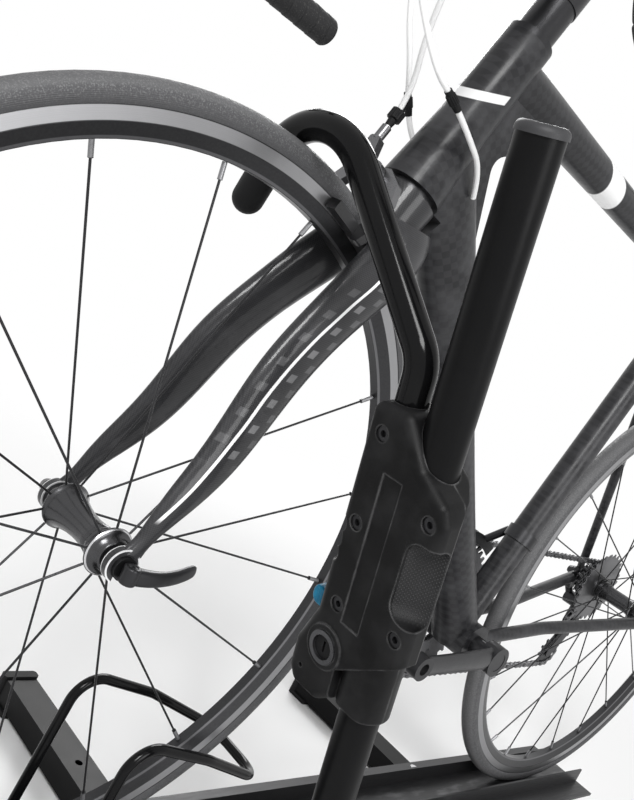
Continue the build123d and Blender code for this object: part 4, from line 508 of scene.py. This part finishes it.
def frame_paint(name, top_highlight=0.0):
    """Clear-coated carbon: a faint wide weave, paler clouds, and white flashes on head tube and top tube.

    The head tube's flash is a slanted band in distance along the steerer and across it, on the tube's
    front half. A value above 0 in the last argument adds a painted highlight: a pale band on the faces that
    point up.
    """
    made = Finish(name, 0.36, 0.0, 0.08, 0.2)
    made.set("Coat Roughness", 0.16)
    wide = made.noise(0.03, detail=4.0)
    x, _, z = made.parts(made.spot)
    weave = made.weave(x, z, 340.0)
    base = made.blend(made.step(weave, -0.15, 0.15), grey(0.015, 0.0165), grey(0.024, 0.026))
    base = made.blend(made.step(wide, 0.4, 0.75, 0.0, 0.6), base, grey(0.055, 0.058))
    # painted highlight: faces that point up turn paler
    rise = made.parts(made.normal())[2]
    base = made.blend(made.step(rise, 0.88, 0.95, 0.0, top_highlight), base, grey(0.34, 0.345))
    slope = made.maths("ADD", x, made.times(z, 0.35))
    top_flash = made.times(made.band(slope, *TOP_FLASH, 0.0012), made.step(z, *TOP_FLASH_Z))
    away = made.from_place(CROWN)
    across = made.along(away, STEER_BACK)
    slant = made.maths("SUBTRACT", made.along(away, STEER_UP), made.times(across, 0.75))
    head_flash = made.times(made.band(slant, *HEAD_FLASH, 0.0004), made.step(across, 0.0015, 0.0005))
    made.colour(made.blend(made.maths("MAXIMUM", top_flash, head_flash), base, grey(0.80)))
    made.rough(made.step(wide, 0.3, 0.7, 0.28, 0.46))
    made.bump(made.noise(0.02, detail=2.0), 0.0004, 0.3)
    return made.material


# On the carriage, in the mast's own frame: the panel's sides and ends, its border, and the front face
PANEL_SIDES, PANEL_ENDS, PANEL_LINE = (0.0058, 0.0242), (0.3558, 0.4762), 0.0006
FACE = (-0.0205, -0.0215)
SCOOP_UP, SCOOP_SIDE = (0.389, 0.444), (-0.06, -0.012)
DOT_ROWS, DOT_LINES = 0.0030, 0.0042
# Reach of the edges that are painted paler, partly as wear and partly as a highlight
EDGE_WEAR_AND_HIGHLIGHT = 0.0022


def carriage_plastic(name):
    """Moulded black plastic: a fine spark texture, edges painted paler as wear and as a highlight, and
    small dots in the thumb scoop.

    An edge is where an averaged normal leaves the surface's own. The dots are a grid in the mast's own
    height and depth, shown only where the scoop lies; a thin pale border frames the front face's panel.
    """
    made = Finish(name, 0.5, shine=0.14)
    away = made.from_place(MAST_FOOT)
    back, up = made.along(away, MAST_X), made.along(away, MAST_Z)
    side = made.parts(away)[1]
    cloud = made.noise(0.03, detail=4.0)
    base = made.blend(made.step(cloud, 0.35, 0.72), grey(0.0022, 0.0024), grey(0.013, 0.0135))
    soft = made.node("ShaderNodeBevel", samples=4)
    soft.inputs["Radius"].default_value = EDGE_WEAR_AND_HIGHLIGHT
    agree = made.vector("DOT_PRODUCT", soft.outputs["Normal"], made.normal())
    edge = made.step(agree, 0.99, 0.90)
    # paler colour on the edges: partly wear, partly a painted highlight
    wear_and_highlight = made.times(edge, made.step(made.noise(0.012), 0.35, 0.65, 0.25, 1.0))

    def panel(inset):
        return made.times(*(made.band(value, low + inset, high - inset, 0.0001)
                            for value, (low, high) in ((side, PANEL_SIDES), (up, PANEL_ENDS))))

    border = made.times(made.maths("SUBTRACT", panel(0.0), panel(PANEL_LINE)), made.step(back, *FACE))
    base = made.blend(made.times(border, 0.8), base, grey(0.055, 0.056))
    made.rough(made.step(cloud, 0.3, 0.7, 0.38, 0.56))
    rows = made.wave(up, 2 * pi / DOT_ROWS)
    lines = made.wave(made.maths("SUBTRACT", side, back), 2 * pi / DOT_LINES)
    dots = made.step(made.times(rows, lines), 0.25, 0.8)
    scoop = made.times(made.band(up, *SCOOP_UP, 0.003), made.band(side, *SCOOP_SIDE, 0.002))
    inward = made.times(scoop, made.step(back, *FACE[::-1]))
    dotted = made.times(inward, made.step(dots, 0.0, 1.0, 0.35, 1.0))
    base = made.blend(dotted, base, grey(0.042, 0.043))
    made.colour(made.blend(wear_and_highlight, base, grey(0.085, 0.086)))
    made.bump(made.noise(0.0005, detail=3.0), 0.00012, 0.7)
    made.bump(made.times(dots, scoop), 0.0006, 0.8)
    return made.material


def tape_cork():
    """Cork tape: soft black with pale flecks and small round pores."""
    made = Finish("bar_tape_cork", 0.8, shine=0.3)
    fleck = made.step(made.noise(0.0016, detail=3.0), 0.55, 0.75)
    made.colour(made.blend(fleck, grey(0.022, 0.023), (0.065, 0.064, 0.062)))
    made.bump(made.step(made.cells(420.0), 0.1, 0.4), 0.0003)
    return made.material


def saddle_cover():
    """Smooth black cover: leather cells, a dull sheen, and two rows of stitches beside the groove."""
    seam_y, seam_z, stitch_pitch = (0.0135, 0.0150), (1.035, 1.04), 0.005
    made = Finish("saddle_cover", 0.5, shine=0.3)
    made.set("Sheen Weight", 0.15)
    x, y, z = made.parts(made.spot)
    seam = made.band(made.maths("ABSOLUTE", y), *seam_y, 0.0003)
    dash = made.step(made.wave(x, 2 * pi / stitch_pitch), -0.2, 0.2)
    stitch = made.times(seam, dash, made.step(z, *seam_z))
    wear_and_highlight = made.noise(0.05)
    base = made.blend(made.step(wear_and_highlight, 0.4, 0.75), grey(0.016, 0.017), grey(0.032, 0.033))
    made.colour(made.blend(stitch, base, grey(0.30, 0.31)))
    made.rough(made.step(wear_and_highlight, 0.3, 0.7, 0.42, 0.58))
    made.bump(made.cells(700.0), 0.0002, 0.5)
    made.bump(stitch, 0.0004)
    return made.material


def tray_metal():
    """Black anodised aluminium with a grain along the tray and scuffs in the groove where tyres roll."""
    groove_half = 0.02
    made = Finish("tray_metal", 0.42, 0.6)
    grain = made.noise(0.0006, stretch=(0.02, 1, 1))
    scuff = made.noise(0.012, stretch=(0.25, 1, 1))
    groove = made.band(made.parts(made.spot)[1], -groove_half, groove_half, 0.006)
    base = made.blend(grain, grey(0.016, 0.017), grey(0.034, 0.036))
    wear_and_highlight = made.times(groove, made.step(scuff, 0.5, 0.75))
    made.colour(made.blend(wear_and_highlight, base, grey(0.085, 0.088)))
    made.rough(made.step(grain, 0.3, 0.7, 0.34, 0.5))
    made.bump(grain, 0.00005)
    return made.material


def lever_plastic():
    """Blue plastic with raised ribs across the thumb tab."""
    rib_pitch, tab_side = 0.0035, (0.052, 0.054)
    made = Finish("lever_plastic", 0.42, shine=0.2)
    side = made.parts(made.from_place(MAST_FOOT))[1]
    ribs = made.step(made.wave(side, 2 * pi / rib_pitch), 0.1, 0.7)
    tab = made.step(side, *tab_side)
    cloud = made.step(made.noise(0.006), 0.3, 0.75)
    made.colour(made.blend(cloud, (0.006, 0.14, 0.26), (0.012, 0.22, 0.38)))
    made.bump(made.noise(0.0005), 0.0001)
    made.bump(made.times(ribs, tab), 0.0006)
    return made.material


# Shapes
def mesh_piece(name, points, faces, finish, smooth=True):
    """A mesh object at the origin from an array of points and a list of faces."""
    mesh = bpy.data.meshes.new(name)
    mesh.from_pydata(np.asarray(points, float).reshape(-1, 3).tolist(), [], faces)
    mesh.update()
    if smooth:
        mesh.shade_smooth()
    mesh.materials.append(finish)
    return linked(name, mesh)


def grid_faces(rows, columns, round_rows=False):
    """Quads of a grid of points whose columns join up, and whose rows do where they are round."""
    i = np.arange(rows if round_rows else rows - 1)[:, None]
    j = np.arange(columns)[None, :]
    a, b = i * columns, ((i + 1) % rows) * columns
    c = (j + 1) % columns
    return np.stack((a + j, a + c, b + c, b + j), axis=-1).reshape(-1, 4).tolist()


def capped(rows, columns):
    """Faces of a tube with a flat end at each side."""
    start, end = list(range(columns))[::-1], list(range((rows - 1) * columns, rows * columns))
    return grid_faces(rows, columns) + [start, end]


def circle(first, second, sides):
    """Directions round a circle: cos(a) times the first plus sin(a) times the second."""
    angle = full_turn(sides)[:, None]
    return np.cos(angle) * first[..., None, :] + np.sin(angle) * second[..., None, :]


def path_length(path):
    """Length along a path up to each of its points."""
    return np.concatenate(([0.0], np.cumsum(np.linalg.norm(np.diff(path, axis=0), axis=1))))


def even_points(path, count, closed=False):
    """Points at even steps along a path; a closed one leaves out its last point."""
    length = path_length(path)
    even = np.linspace(0, length[-1], count, endpoint=not closed)
    return np.stack([np.interp(even, length, column) for column in path.T], axis=1)


def tube_grid(path, radius, sides, across):
    """Rings of a tube: points of the path plus radius(s, angle) times the two directions across it.

    across is square to the path, everywhere or point by point; the other is the path's direction times it.
    """
    along = unit(np.gradient(path, axis=0))
    first = np.broadcast_to(np.asarray(across, float), along.shape)
    r = radius(path_length(path)[:, None], full_turn(sides)[None, :])[..., None]
    return path[:, None] + r * circle(first, np.cross(along, first), sides)


def rounded_path(points, radii, step):
    """Points along straight runs joined by arcs, which start at r tan(turn / 2) before each corner."""
    points = [np.asarray(p, float) for p in points]
    pieces = [points[0][None]]
    for before, here, after, r in zip(points, points[1:], points[2:], radii):
        come, leave = unit(here - before), unit(after - here)
        turn = np.arccos(np.clip(come @ leave, -1, 1))
        start = here - come * r * np.tan(turn / 2)
        inward = unit(leave - come * (come @ leave))
        t = np.linspace(0, turn, max(4, int(turn * r / step)))[:, None]
        pieces.append(start + r * (np.sin(t) * come + (1 - np.cos(t)) * inward))
    pieces.append(points[-1][None])
    corners = np.concatenate(pieces)
    return even_points(corners, int(path_length(corners)[-1] / step))


def copies(points, faces, places, turns):
    """One shape repeated: every point is turned by each 3 by 3 matrix and moved to its place."""
    points = np.asarray(points, float)
    spread = np.einsum("kij,nj->kni", turns, points) + places[:, None]
    count = len(points)
    all_faces = [[v + k * count for v in face] for k in range(len(places)) for face in faces]
    return spread.reshape(-1, 3), all_faces


def prism(outline, low, high):
    """A flat outline of (x, z) pairs given a thickness along y, with its faces."""
    outline = np.asarray(outline, float)
    n = len(outline)
    points = np.concatenate([np.insert(outline, 1, y, axis=1) for y in (low, high)])
    sides = [[k, (k + 1) % n, n + (k + 1) % n, n + k] for k in range(n)]
    return points, sides + [list(range(n))[::-1], list(range(n, 2 * n))]


def several(*shapes):
    """Several (points, faces) shapes as one."""
    points, faces, count = [], [], 0
    for some, sides in shapes:
        points.append(np.asarray(some, float).reshape(-1, 3))
        faces += [[v + count for v in face] for face in sides]
        count += len(points[-1])
    return np.concatenate(points), faces


def turned(profile, centre, sides):
    """A profile of (along y, radius) pairs turned about an axis through the centre."""
    profile = np.asarray(profile, float)
    angle = full_turn(sides)
    y = np.broadcast_to(profile[:, :1], (len(profile), sides))
    r = profile[:, 1:]
    points = np.stack((r * np.cos(angle), y, r * np.sin(angle)), axis=-1) + np.asarray(centre)
    return points, grid_faces(len(profile), sides)


def lathe(profile, centre, axis, sides=40):
    """A profile of (height, radius) pairs turned about any axis through the centre."""
    profile, axis = np.asarray(profile, float), np.asarray(axis, float)
    first = unit(np.cross(axis, (0.3, 0.9, 0.2)))
    ring = circle(first, np.cross(axis, first), sides)
    points = centre + profile[:, :1, None] * axis + profile[:, 1:, None] * ring
    return points, grid_faces(len(profile), sides)


# Front hub and quick releases, in millimetres: (along the axle, radius), and at shares of a lever's
# length its half height and half thickness
HUB_PROFILE = (
    (-44.6, 6.2), (-44.6, 12.6), (-43.6, 13.6), (-37.6, 14.2), (-36.6, 18.6), (-36, 19.8), (-35, 20.2),
    (-34, 19.8), (-33.3, 18.6), (-32.4, 16.6), (-28.6, 15.6), (-28.2, 14.9), (-27.2, 14.9), (-26.8, 15.1),
    (-23.6, 14.5), (-23.2, 13.9), (-22.2, 13.8), (-21.8, 14.0), (-14, 12.7), (-4, 12.0), (4, 12.2),
    (14, 13.3), (24, 15.4), (30, 17.2), (33, 18.8), (34, 19.8), (35, 20.2), (36, 19.8), (36.6, 18.6),
    (37.6, 14.2), (43.6, 13.6), (44.6, 12.6), (44.6, 6.2), (-44.6, 6.2))
BLADE_LONG = 60
BLADE_SHARE = (0, 0.15, 0.5, 0.85, 1)
BLADE_TALL = (6.8, 6.7, 6.0, 5.9, 5.2)
BLADE_THICK = (5.2, 4.6, 3.0, 2.7, 2.2)
BLADE_TIP = 0.92                # share where the tip begins
BOSS_HALF, BOSS_R, BOSS_ROUND = 5.4, 5.2, 1.6


def hub_shell(name, centre, finish):
    """A turned hub: a waisted barrel that flares to one flange and steps down by rings to the other."""
    return mesh_piece(name, *turned(np.array(HUB_PROFILE) * MM, centre, 72), finish)


def qr_blade(name, pivot, finish):
    """A quick-release lever: superellipse sections along a bowed path, out of a rounded upright boss.

    The path runs back, bows out by a sine and lifts by a square after a slight dip; the last sections
    close as a quarter circle.
    """
    t = np.linspace(0, 1, 61)
    bow, lift = -4.0 * np.sin(pi * t) + 1.5 * t, 9 * t**2 - 5 * t * (1 - t)
    path = np.stack((BLADE_LONG * t, bow, lift), axis=1) * MM + pivot
    along = unit(np.gradient(path, axis=0))
    out = unit(np.cross(along, UPWARD))
    rise = np.cross(out, along)
    end = np.sqrt(1 - np.clip((t - BLADE_TIP) / (1 - BLADE_TIP), 0, 0.999)**2)
    tall, thick = (np.interp(t, BLADE_SHARE, half) * end * MM for half in (BLADE_TALL, BLADE_THICK))
    angle = full_turn(40)
    c, q = (np.sign(w) * np.abs(w)**0.7 for w in (np.cos(angle), np.sin(angle)))
    blade = (path[:, None] + thick[:, None, None] * c[:, None] * out[:, None]
             + tall[:, None, None] * q[:, None] * rise[:, None])
    a = np.linspace(-pi / 2, pi / 2, 13)
    lower, upper = (np.stack((middle + BOSS_ROUND * np.sin(b), BOSS_R + BOSS_ROUND * np.cos(b)), axis=1)
                    for middle, b in ((-BOSS_HALF, a[:7]), (BOSS_HALF, a[6:])))
    disc = np.array(((7.0, 3.9), (7.0, 3.6), (6.4, 3.4), (6.4, 0.05)))
    boss = np.concatenate((((-7.0, 0.05),), lower, upper, disc)) * MM
    shapes = (blade, capped(*blade.shape[:2])), lathe(boss, pivot, UPWARD)
    return mesh_piece(name, *several(*shapes), finish)


# Chain
PITCH = 0.0127
CHAIN_Y = 0.046
RING_TEETH, JOCKEY_TEETH, DRIVEN_TEETH = 50, 11, 17
LOWER_JOCKEY, UPPER_JOCKEY = REAR + (-0.016, 0, -0.128), REAR + (0.014, 0, -0.076)
PLATE_R, WAIST = 0.0042, 0.0030
PLATES = ((0, 0.0022, 0.0029), (1, 0.0013, 0.0020))     # first link, near and far face
ROLLERS = ((0.0038, 0.00125), (0.0019, 0.0034))         # radius and half length of roller and pin
COGS = (28, 26, 23, 20, 17, 15, 13, 12)
COG_GAP, COG_HOLE, COG_THICK = 0.004, 0.0172, 0.0018
ROOT_DROP, TOOTH, TOOTH_CHAMFER = 0.0006, 0.00256, 0.0022
CASSETTE_CORE = ((0.027, 0.0061), (0.027, 0.017), (0.0596, 0.017), (0.0596, 0.0135), (0.0585, 0.0135),
                 (0.0585, 0.0061), (0.027, 0.0061))


def pitch_radius(teeth):
    return PITCH / (2 * sin(pi / teeth))


def chain_path():
    """One point for each pin of the chain: straight tangents between pitch circles joined by arcs.

    A wheel that the chain passes on its outside has a negative radius.
    """
    jockey = pitch_radius(JOCKEY_TEETH)
    wheels = ((CRANK, pitch_radius(RING_TEETH)), (LOWER_JOCKEY, jockey), (UPPER_JOCKEY, -jockey),
              (REAR, pitch_radius(DRIVEN_TEETH)))
    flat = np.array([(c[0], c[2], r) for c, r in wheels])
    after = np.roll(flat, -1, axis=0)
    gap = after[:, :2] - flat[:, :2]
    swing = np.arcsin((flat[:, 2] - after[:, 2]) / np.linalg.norm(gap, axis=1))
    lean = np.arctan2(gap[:, 1], gap[:, 0]) - pi / 2 + swing
    normal = np.stack((np.cos(lean), np.sin(lean)), axis=1)
    leave = flat[:, :2] + flat[:, 2:] * normal
    reach = after[:, :2] + after[:, 2:] * normal
    pieces = []
    for k in range(len(wheels)):
        j = (k + 1) % len(wheels)
        x, z, r = flat[j]
        first = np.arctan2(*((reach[k] - (x, z)) / r)[::-1])
        last = np.arctan2(*((leave[j] - (x, z)) / r)[::-1])
        turn = (last - first) % (2 * pi) if r > 0 else -((first - last) % (2 * pi))
        t = first + np.linspace(0, turn, 160)
        arc = np.stack((x + r * np.cos(t), z + r * np.sin(t)), axis=1)
        pieces += [np.linspace(leave[k], reach[k], 200), arc]
    line = np.concatenate(pieces)
    count = 2 * round(path_length(line)[-1] / PITCH / 2)
    return np.insert(even_points(line, count, closed=True), 1, CHAIN_Y, axis=1)


def chain_links(finish):
    """Figure-eight plates, wide and narrow in turn, and a roller on each pin."""
    pins = chain_path()
    ahead = np.roll(pins, -1, axis=0) - pins
    way = unit(ahead)
    turns = np.stack((way, np.broadcast_to(SIDEWAYS, way.shape), np.cross(way, SIDEWAYS)), axis=2)
    t = np.linspace(-pi / 2, pi / 2, 6)
    end = np.stack((PITCH / 2 + PLATE_R * np.cos(t), PLATE_R * np.sin(t)), axis=1)
    outline = np.concatenate((end, ((0.0, WAIST),), -end, ((0.0, -WAIST),)))
    middle = pins + ahead / 2
    shapes = []
    for first, near, far in PLATES:
        for low, high in ((-far, -near), (near, far)):
            shapes.append(copies(*prism(outline, low, high), middle[first::2], turns[first::2]))
    a = full_turn(8)
    for r, half in ROLLERS:
        round_end = np.stack((r * np.cos(a), r * np.sin(a)), axis=1)
        shapes.append(copies(*prism(round_end, -half, half), pins, turns))
    return mesh_piece("chain_links", *several(*shapes), finish, smooth=False)


def cog(centre, y, teeth):
    """A toothed disc: the rim's radius swings between root and tip once per tooth, with flat roots."""
    angle = full_turn(teeth * 8)
    wave = np.clip(np.cos(angle * teeth) * 1.5, -1, 1)
    rim = pitch_radius(teeth) - ROOT_DROP + TOOTH * wave
    face, land = COG_THICK / 2, COG_THICK / 5
    rings = ((COG_HOLE, -face), (COG_HOLE, face), (rim - TOOTH_CHAMFER, face), (rim, land), (rim, -land),
             (rim - TOOTH_CHAMFER, -face))
    points = np.stack([np.stack((centre[0] + r * np.cos(angle), np.full(len(angle), y + s),
                                 centre[2] + r * np.sin(angle)), axis=1) for r, s in rings])
    return points, grid_faces(len(rings), len(angle), round_rows=True)


def cassette_cogs(finish):
    """Eight cogs, largest inside, on a short core with its lock ring; the chain runs on the driven one."""
    driven = COGS.index(DRIVEN_TEETH)
    shapes = [cog(REAR, CHAIN_Y + (k - driven) * COG_GAP, teeth) for k, teeth in enumerate(COGS)]
    shapes.append(turned(CASSETTE_CORE, REAR, 64))
    return mesh_piece("cassette_cogs", *several(*shapes), finish, smooth=False)


# Grip tape and saddle
DROP_Y = 0.205
TAPE_STEP = 0.017               # one turn of the tape
TAPE_R, PLUG_R = 0.01405, 0.0139
# From nose to tail: share of the length, and in millimetres half width, top and underside over the post
SADDLE_SHARE = (0.0, 0.03, 0.12, 0.4, 0.56, 0.68, 0.8, 0.9, 0.97, 1.0)
SADDLE_HALF = (4, 14, 20, 26, 36, 50, 63, 67, 63, 52)
SADDLE_TOP = (40, 47, 52, 55.5, 56, 57, 58.5, 59.5, 57.5, 49)
SADDLE_UNDER = (34, 31, 29, 25, 23, 22, 23, 27, 34, 40)
SADDLE_NOSE, SADDLE_LONG = 0.1458, 0.27
GROOVE_DEEP, GROOVE_WIDE = 0.0042, 0.008
RAIL = ((-105, 8, 34), (-60, 20, 6), (60, 20, 6), (95, 32, 30))
RAIL_R, RAIL_BEND = 0.0035, 0.04


def drop_points(side):
    """Corner points of one drop of the handlebar, from its open end to the brake hood."""
    y = side * DROP_Y
    low, bend = BAR + (0.035, y, -0.132), BAR + (-0.084, y, -0.128)
    top = BAR + (-0.088, y, -0.008)
    return [low, bend, bend + (top - bend) * 0.62]


def wrapped_tape(name, side, finish):
    """A tube whose radius falls back once every turn of the tape: a saw-tooth in length minus angle."""
    def radius(s, a):
        saw = np.mod(s / TAPE_STEP - a / (2 * pi), 1.0)
        dips = 0.0009 * np.exp(-(saw / 0.06)**2) + 0.0004 * np.exp(-((1 - saw) / 0.05)**2)
        return TAPE_R + 0.0005 * saw - dips

    grid = tube_grid(rounded_path(drop_points(side), [0.048], 0.0009), radius, 40, SIDEWAYS)
    return mesh_piece(name, grid, capped(*grid.shape[:2]), finish)


def bar_plug(name, side, finish):
    """A domed plug: a short collar, then a cap whose radius follows a quarter ellipse."""
    end, bend, _ = drop_points(side)
    out = unit(end - bend)
    t = np.linspace(0, pi / 2, 8)
    along = np.concatenate(([0.0, 0.0008], 0.0008 + 0.0035 * np.sin(t)))
    r = np.concatenate(([0.0137, PLUG_R], PLUG_R * np.maximum(np.cos(t), 0.02)))
    ring = circle(SIDEWAYS, np.cross(out, SIDEWAYS), 32)
    points = end + along[:, None, None] * out + r[:, None, None] * ring
    return mesh_piece(name, points, capped(*points.shape[:2]), finish)


def saddle_pad(finish):
    """A saddle: rounded sections whose half width grows from nose to tail, with a crowned top and a groove.

    Across, the top is (1 - |s|^2.6)^0.5 high and the underside is nearly flat; along the middle the
    groove is a narrow bell curve that fades out towards both ends.
    """
    u = np.linspace(0, 1, 121)
    kernel = np.hanning(11) / np.hanning(11).sum()

    def soft(values):
        line = np.interp(u, SADDLE_SHARE, np.array(values) * MM)
        longer = np.pad(line, 5, mode="reflect", reflect_type="odd")
        return np.convolve(longer, kernel, mode="valid")[:, None]

    half, top, under = soft(SADDLE_HALF), soft(SADDLE_TOP), soft(SADDLE_UNDER)
    v = full_turn(96)
    s = np.cos(v)
    upper = np.sin(v) >= 0
    middle = under + (top - under) * 0.45
    z = np.where(upper, middle + (top - middle) * np.maximum(1 - np.abs(s)**2.6, 0)**0.5,
                 middle - (middle - under) * np.maximum(1 - np.abs(s)**6, 0)**0.5)
    fade = np.clip((u - 0.18) / 0.2, 0, 1) * np.clip((0.97 - u) / 0.16, 0, 1)
    z = z - GROOVE_DEEP * fade[:, None] * np.exp(-(s * half / GROOVE_WIDE)**2) * upper
    x = POST_TOP[0] - SADDLE_NOSE + SADDLE_LONG * u
    points = np.stack((np.broadcast_to(x[:, None], z.shape), s * half, POST_TOP[2] + z), axis=-1)
    return mesh_piece("saddle_pad", points, capped(*z.shape), finish)


def saddle_rails(finish):
    """Two bent rods: straight under the clamp, rising to the nose and to the tail."""
    shapes = []
    for side in (-1, 1):
        route = POST_TOP + np.array(RAIL) * (1, side, 1) * MM
        path = rounded_path(route, [RAIL_BEND, RAIL_BEND], 0.004)
        first = unit(np.cross(unit(np.gradient(path, axis=0)), SIDEWAYS))
        grid = tube_grid(path, lambda s, a: RAIL_R + 0 * s * a, 16, first)
        shapes.append((grid, capped(*grid.shape[:2])))
    return mesh_piece("saddle_rails", *several(*shapes), finish)


# Cables
# A cable adjuster's profile (along the cable, radius), in millimetres
ADJUSTER = ((-11, 2.6), (-11, 3.3), (-7, 3.4), (-6.5, 4.3), (2, 4.3), (2.5, 3.6), (9, 3.2), (9, 2.6))
FLUTES, FLUTE_DEEP = 14, 0.00025


def housing(name, route, finish):
    """A cable housing: a smooth spline led by its route's points, with a round section."""
    data = bpy.data.curves.new(name, "CURVE")
    data.dimensions = "3D"
    data.bevel_depth = HOUSING_R
    data.bevel_resolution = 5
    data.resolution_u = 12
    data.use_fill_caps = True
    line = data.splines.new("NURBS")
    line.points.add(len(route) - 1)
    for point, place in zip(line.points, route):
        point.co = (*place, 1.0)
    line.order_u = 3
    line.use_endpoint_u = True
    data.materials.append(finish)
    thing = linked(name, data)
    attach(thing, "steering")
    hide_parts("cables")


def spline_point(route, k):
    """Where the spline passes its inner point k, (p[k-1] + 6 p[k] + p[k+1]) / 8, and its way there."""
    return (route[k - 1] + 6 * route[k] + route[k + 1]) / 8, unit(route[k + 1] - route[k - 1])


def cable_adjuster(name, middle, way, finish, swell=0.0):
    """A knurled barrel round the housing: a stepped profile, its thick part fluted and grown by swell."""
    first = unit(np.cross(way, UPWARD))
    profile = np.array(ADJUSTER) * MM
    angle = full_turn(8 * FLUTES)
    thick = np.clip((profile[:, 1:] - 0.0034) / 0.0009, 0, 1)
    r = profile[:, 1:] + thick * (swell - FLUTE_DEEP * (1 + np.cos(FLUTES * angle)))
    ring = circle(first, np.cross(way, first), len(angle))
    points = middle + profile[:, :1, None] * way + r[..., None] * ring
    return mesh_piece(name, points, grid_faces(*r.shape, round_rows=True), finish, smooth=False)


camera()
light()
floor()

COAT_BLACK, BARE = grey(0.0022, 0.0025), grey(0.55, 0.56)
black_steel = grained("black_powder_coat", COAT_BLACK, 0.34, 0.0007, 0.00003, shine=0.09).material
gloss_steel = grained("black_gloss_coat", COAT_BLACK, 0.12, 0.0009, 0.00002, shine=0.13).material
rubber = grained("soft_rubber", grey(0.006, 0.0065), 0.6, 0.0008, 0.0001, shine=0.15).material
zinc = grained("zinc_plate", BARE, 0.32, 0.0012, 0.00003, metal=1.0).material
cap_plastic = grained("cap_plastic", grey(0.030, 0.032), 0.5, 0.0009, 0.00008, shine=0.3).material
black_metal = grained("black_anodised", grey(0.022, 0.024), 0.34, 0.0006, 0.00003, metal=0.6).material
bright_metal = grained("bright_metal", BARE, 0.24, 0.0008, 0.00002, metal=1.0).material
lock_metal = grained("lock_metal", grey(0.10, 0.105), 0.3, 0.0006, 0.00003, metal=0.9).material
chain_steel = grained("chain_steel", grey(0.16, 0.165), 0.36, 0.0012, 0.00003, 0.4, 0.9).material
white_housing = grained("white_housing", grey(0.80), 0.35, 0.0012, 0.00003, 0.05).material
tape = tape_cork()
cover = saddle_cover()
FINISH = {
    "fork": fork_carbon(),
    # 0.8 sets the strength of the painted highlight on the top tube's upper faces
    "top_tube": frame_paint("top_tube_paint", 0.8),
    "wheel_tray": tray_metal(),
    "carriage_front_shell": carriage_plastic("carriage_front_plastic"),
    "carriage_rear_shell": carriage_plastic("carriage_rear_plastic"),
    "release_lever": lever_plastic(),
    "mast_cap": cap_plastic,
    "cables": white_housing,
    "bar_tape": tape,
    "saddle": cover,
}
for end, centre, half in (("front", FRONT, FRONT_HALF), ("rear", REAR, REAR_HALF)):
    brake = brake_metal(end + "_brake_metal", centre)
    FINISH.update({
        end + "_tyre": tyre_rubber(end + "_tyre_rubber", centre),
        end + "_rim": rim_finish(end + "_rim_metal", centre),
        end + "_spokes": spoke_steel(end + "_spoke_steel", centre),
        end + "_hub": hub_metal(end + "_hub_metal", centre),
        end + "_axle": axle_metal(end + "_axle_metal", centre, half),
        end + "_brake_left_arm": brake,
        end + "_brake_right_arm": brake,
    })
for finish, names in (
        (frame_paint("frame_paint"),
         "head_tube down_tube seat_tube chainstays seatstays bottom_bracket_shell seatpost"),
        (rubber, "foot_caps hook_sleeve brake_hoods lock_plug"),
        (zinc, "stand_bolts mast_pivot_bolt pawl_spring"),
        (gloss_steel, "hook_tube wheel_hoop"),
        (black_steel, "foot_bars mast_bracket mast_tube ratchet_strip"),
        (lock_metal, "lock_barrel chainrings"),
        (chain_steel, "chain cassette")):
    FINISH.update({name: finish for name in names.split()})
for name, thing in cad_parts.items():
    slots = thing.data.materials
    slots.clear()
    slots.append(FINISH.get(name, black_metal))


def dress(piece, body, slot, *nodes):
    """Let a piece ride on a body and stand for its nodes; the slot is not used."""
    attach(piece, body)
    if nodes:
        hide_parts(*nodes)


for name, route, length in (("front_brake_housing", BRAKE_ROUTE, 0.284),
                            ("left_gear_housing", LEFT_ROUTE, 0.362),
                            ("right_gear_housing", RIGHT_ROUTE, 0.285)):
    housing(name, BAR + route, white_housing)
for name, route in (("left_cable_adjuster", LEFT_ROUTE), ("right_cable_adjuster", RIGHT_ROUTE)):
    middle, way = spline_point(BAR + route, ADJUSTER_AT)
    dress(cable_adjuster(name, middle, way, rubber), "steering", "black_plastic")
brake_end = unit(BRAKE_ROUTE[-1] - BRAKE_ROUTE[-2])
brake_middle = BAR + BRAKE_ROUTE[-1] - BRAKE_ADJUSTER_BACK * brake_end
dress(cable_adjuster("brake_cable_adjuster", brake_middle, brake_end, rubber, BRAKE_ADJUSTER_SWELL),
      "steering", "black_plastic")
dress(hub_shell("front_hub_shell", FRONT, FINISH["front_hub"]), "front_wheel", "hub_metal", "front_hub")
dress(qr_blade("front_qr_blade", FRONT + (0, FRONT_QR_Y, 0), black_metal), "front_qr", "black_metal",
      "front_qr_lever")
dress(qr_blade("rear_qr_blade", REAR + (0, REAR_QR_Y, 0), black_metal), "rear_qr", "black_metal",
      "rear_qr_lever")
dress(chain_links(chain_steel), "frame", "chain_steel", "chain")
dress(cassette_cogs(chain_steel), "cassette", "chain_steel", "cassette")
for side, tape_name, plug_name in ((-1, "left_tape", "left_bar_plug"), (1, "right_tape", "right_bar_plug")):
    dress(wrapped_tape(tape_name, side, tape), "steering", "tape", "bar_tape")
    dress(bar_plug(plug_name, side, rubber), "steering", "black_plastic")
pad = saddle_pad(cover)
dress(pad, "saddle_post", "saddle_cover", "saddle")
dress(saddle_rails(bright_metal), "saddle_post", "bright_metal")

bpy.context.scene.view_settings.view_transform = "Standard"
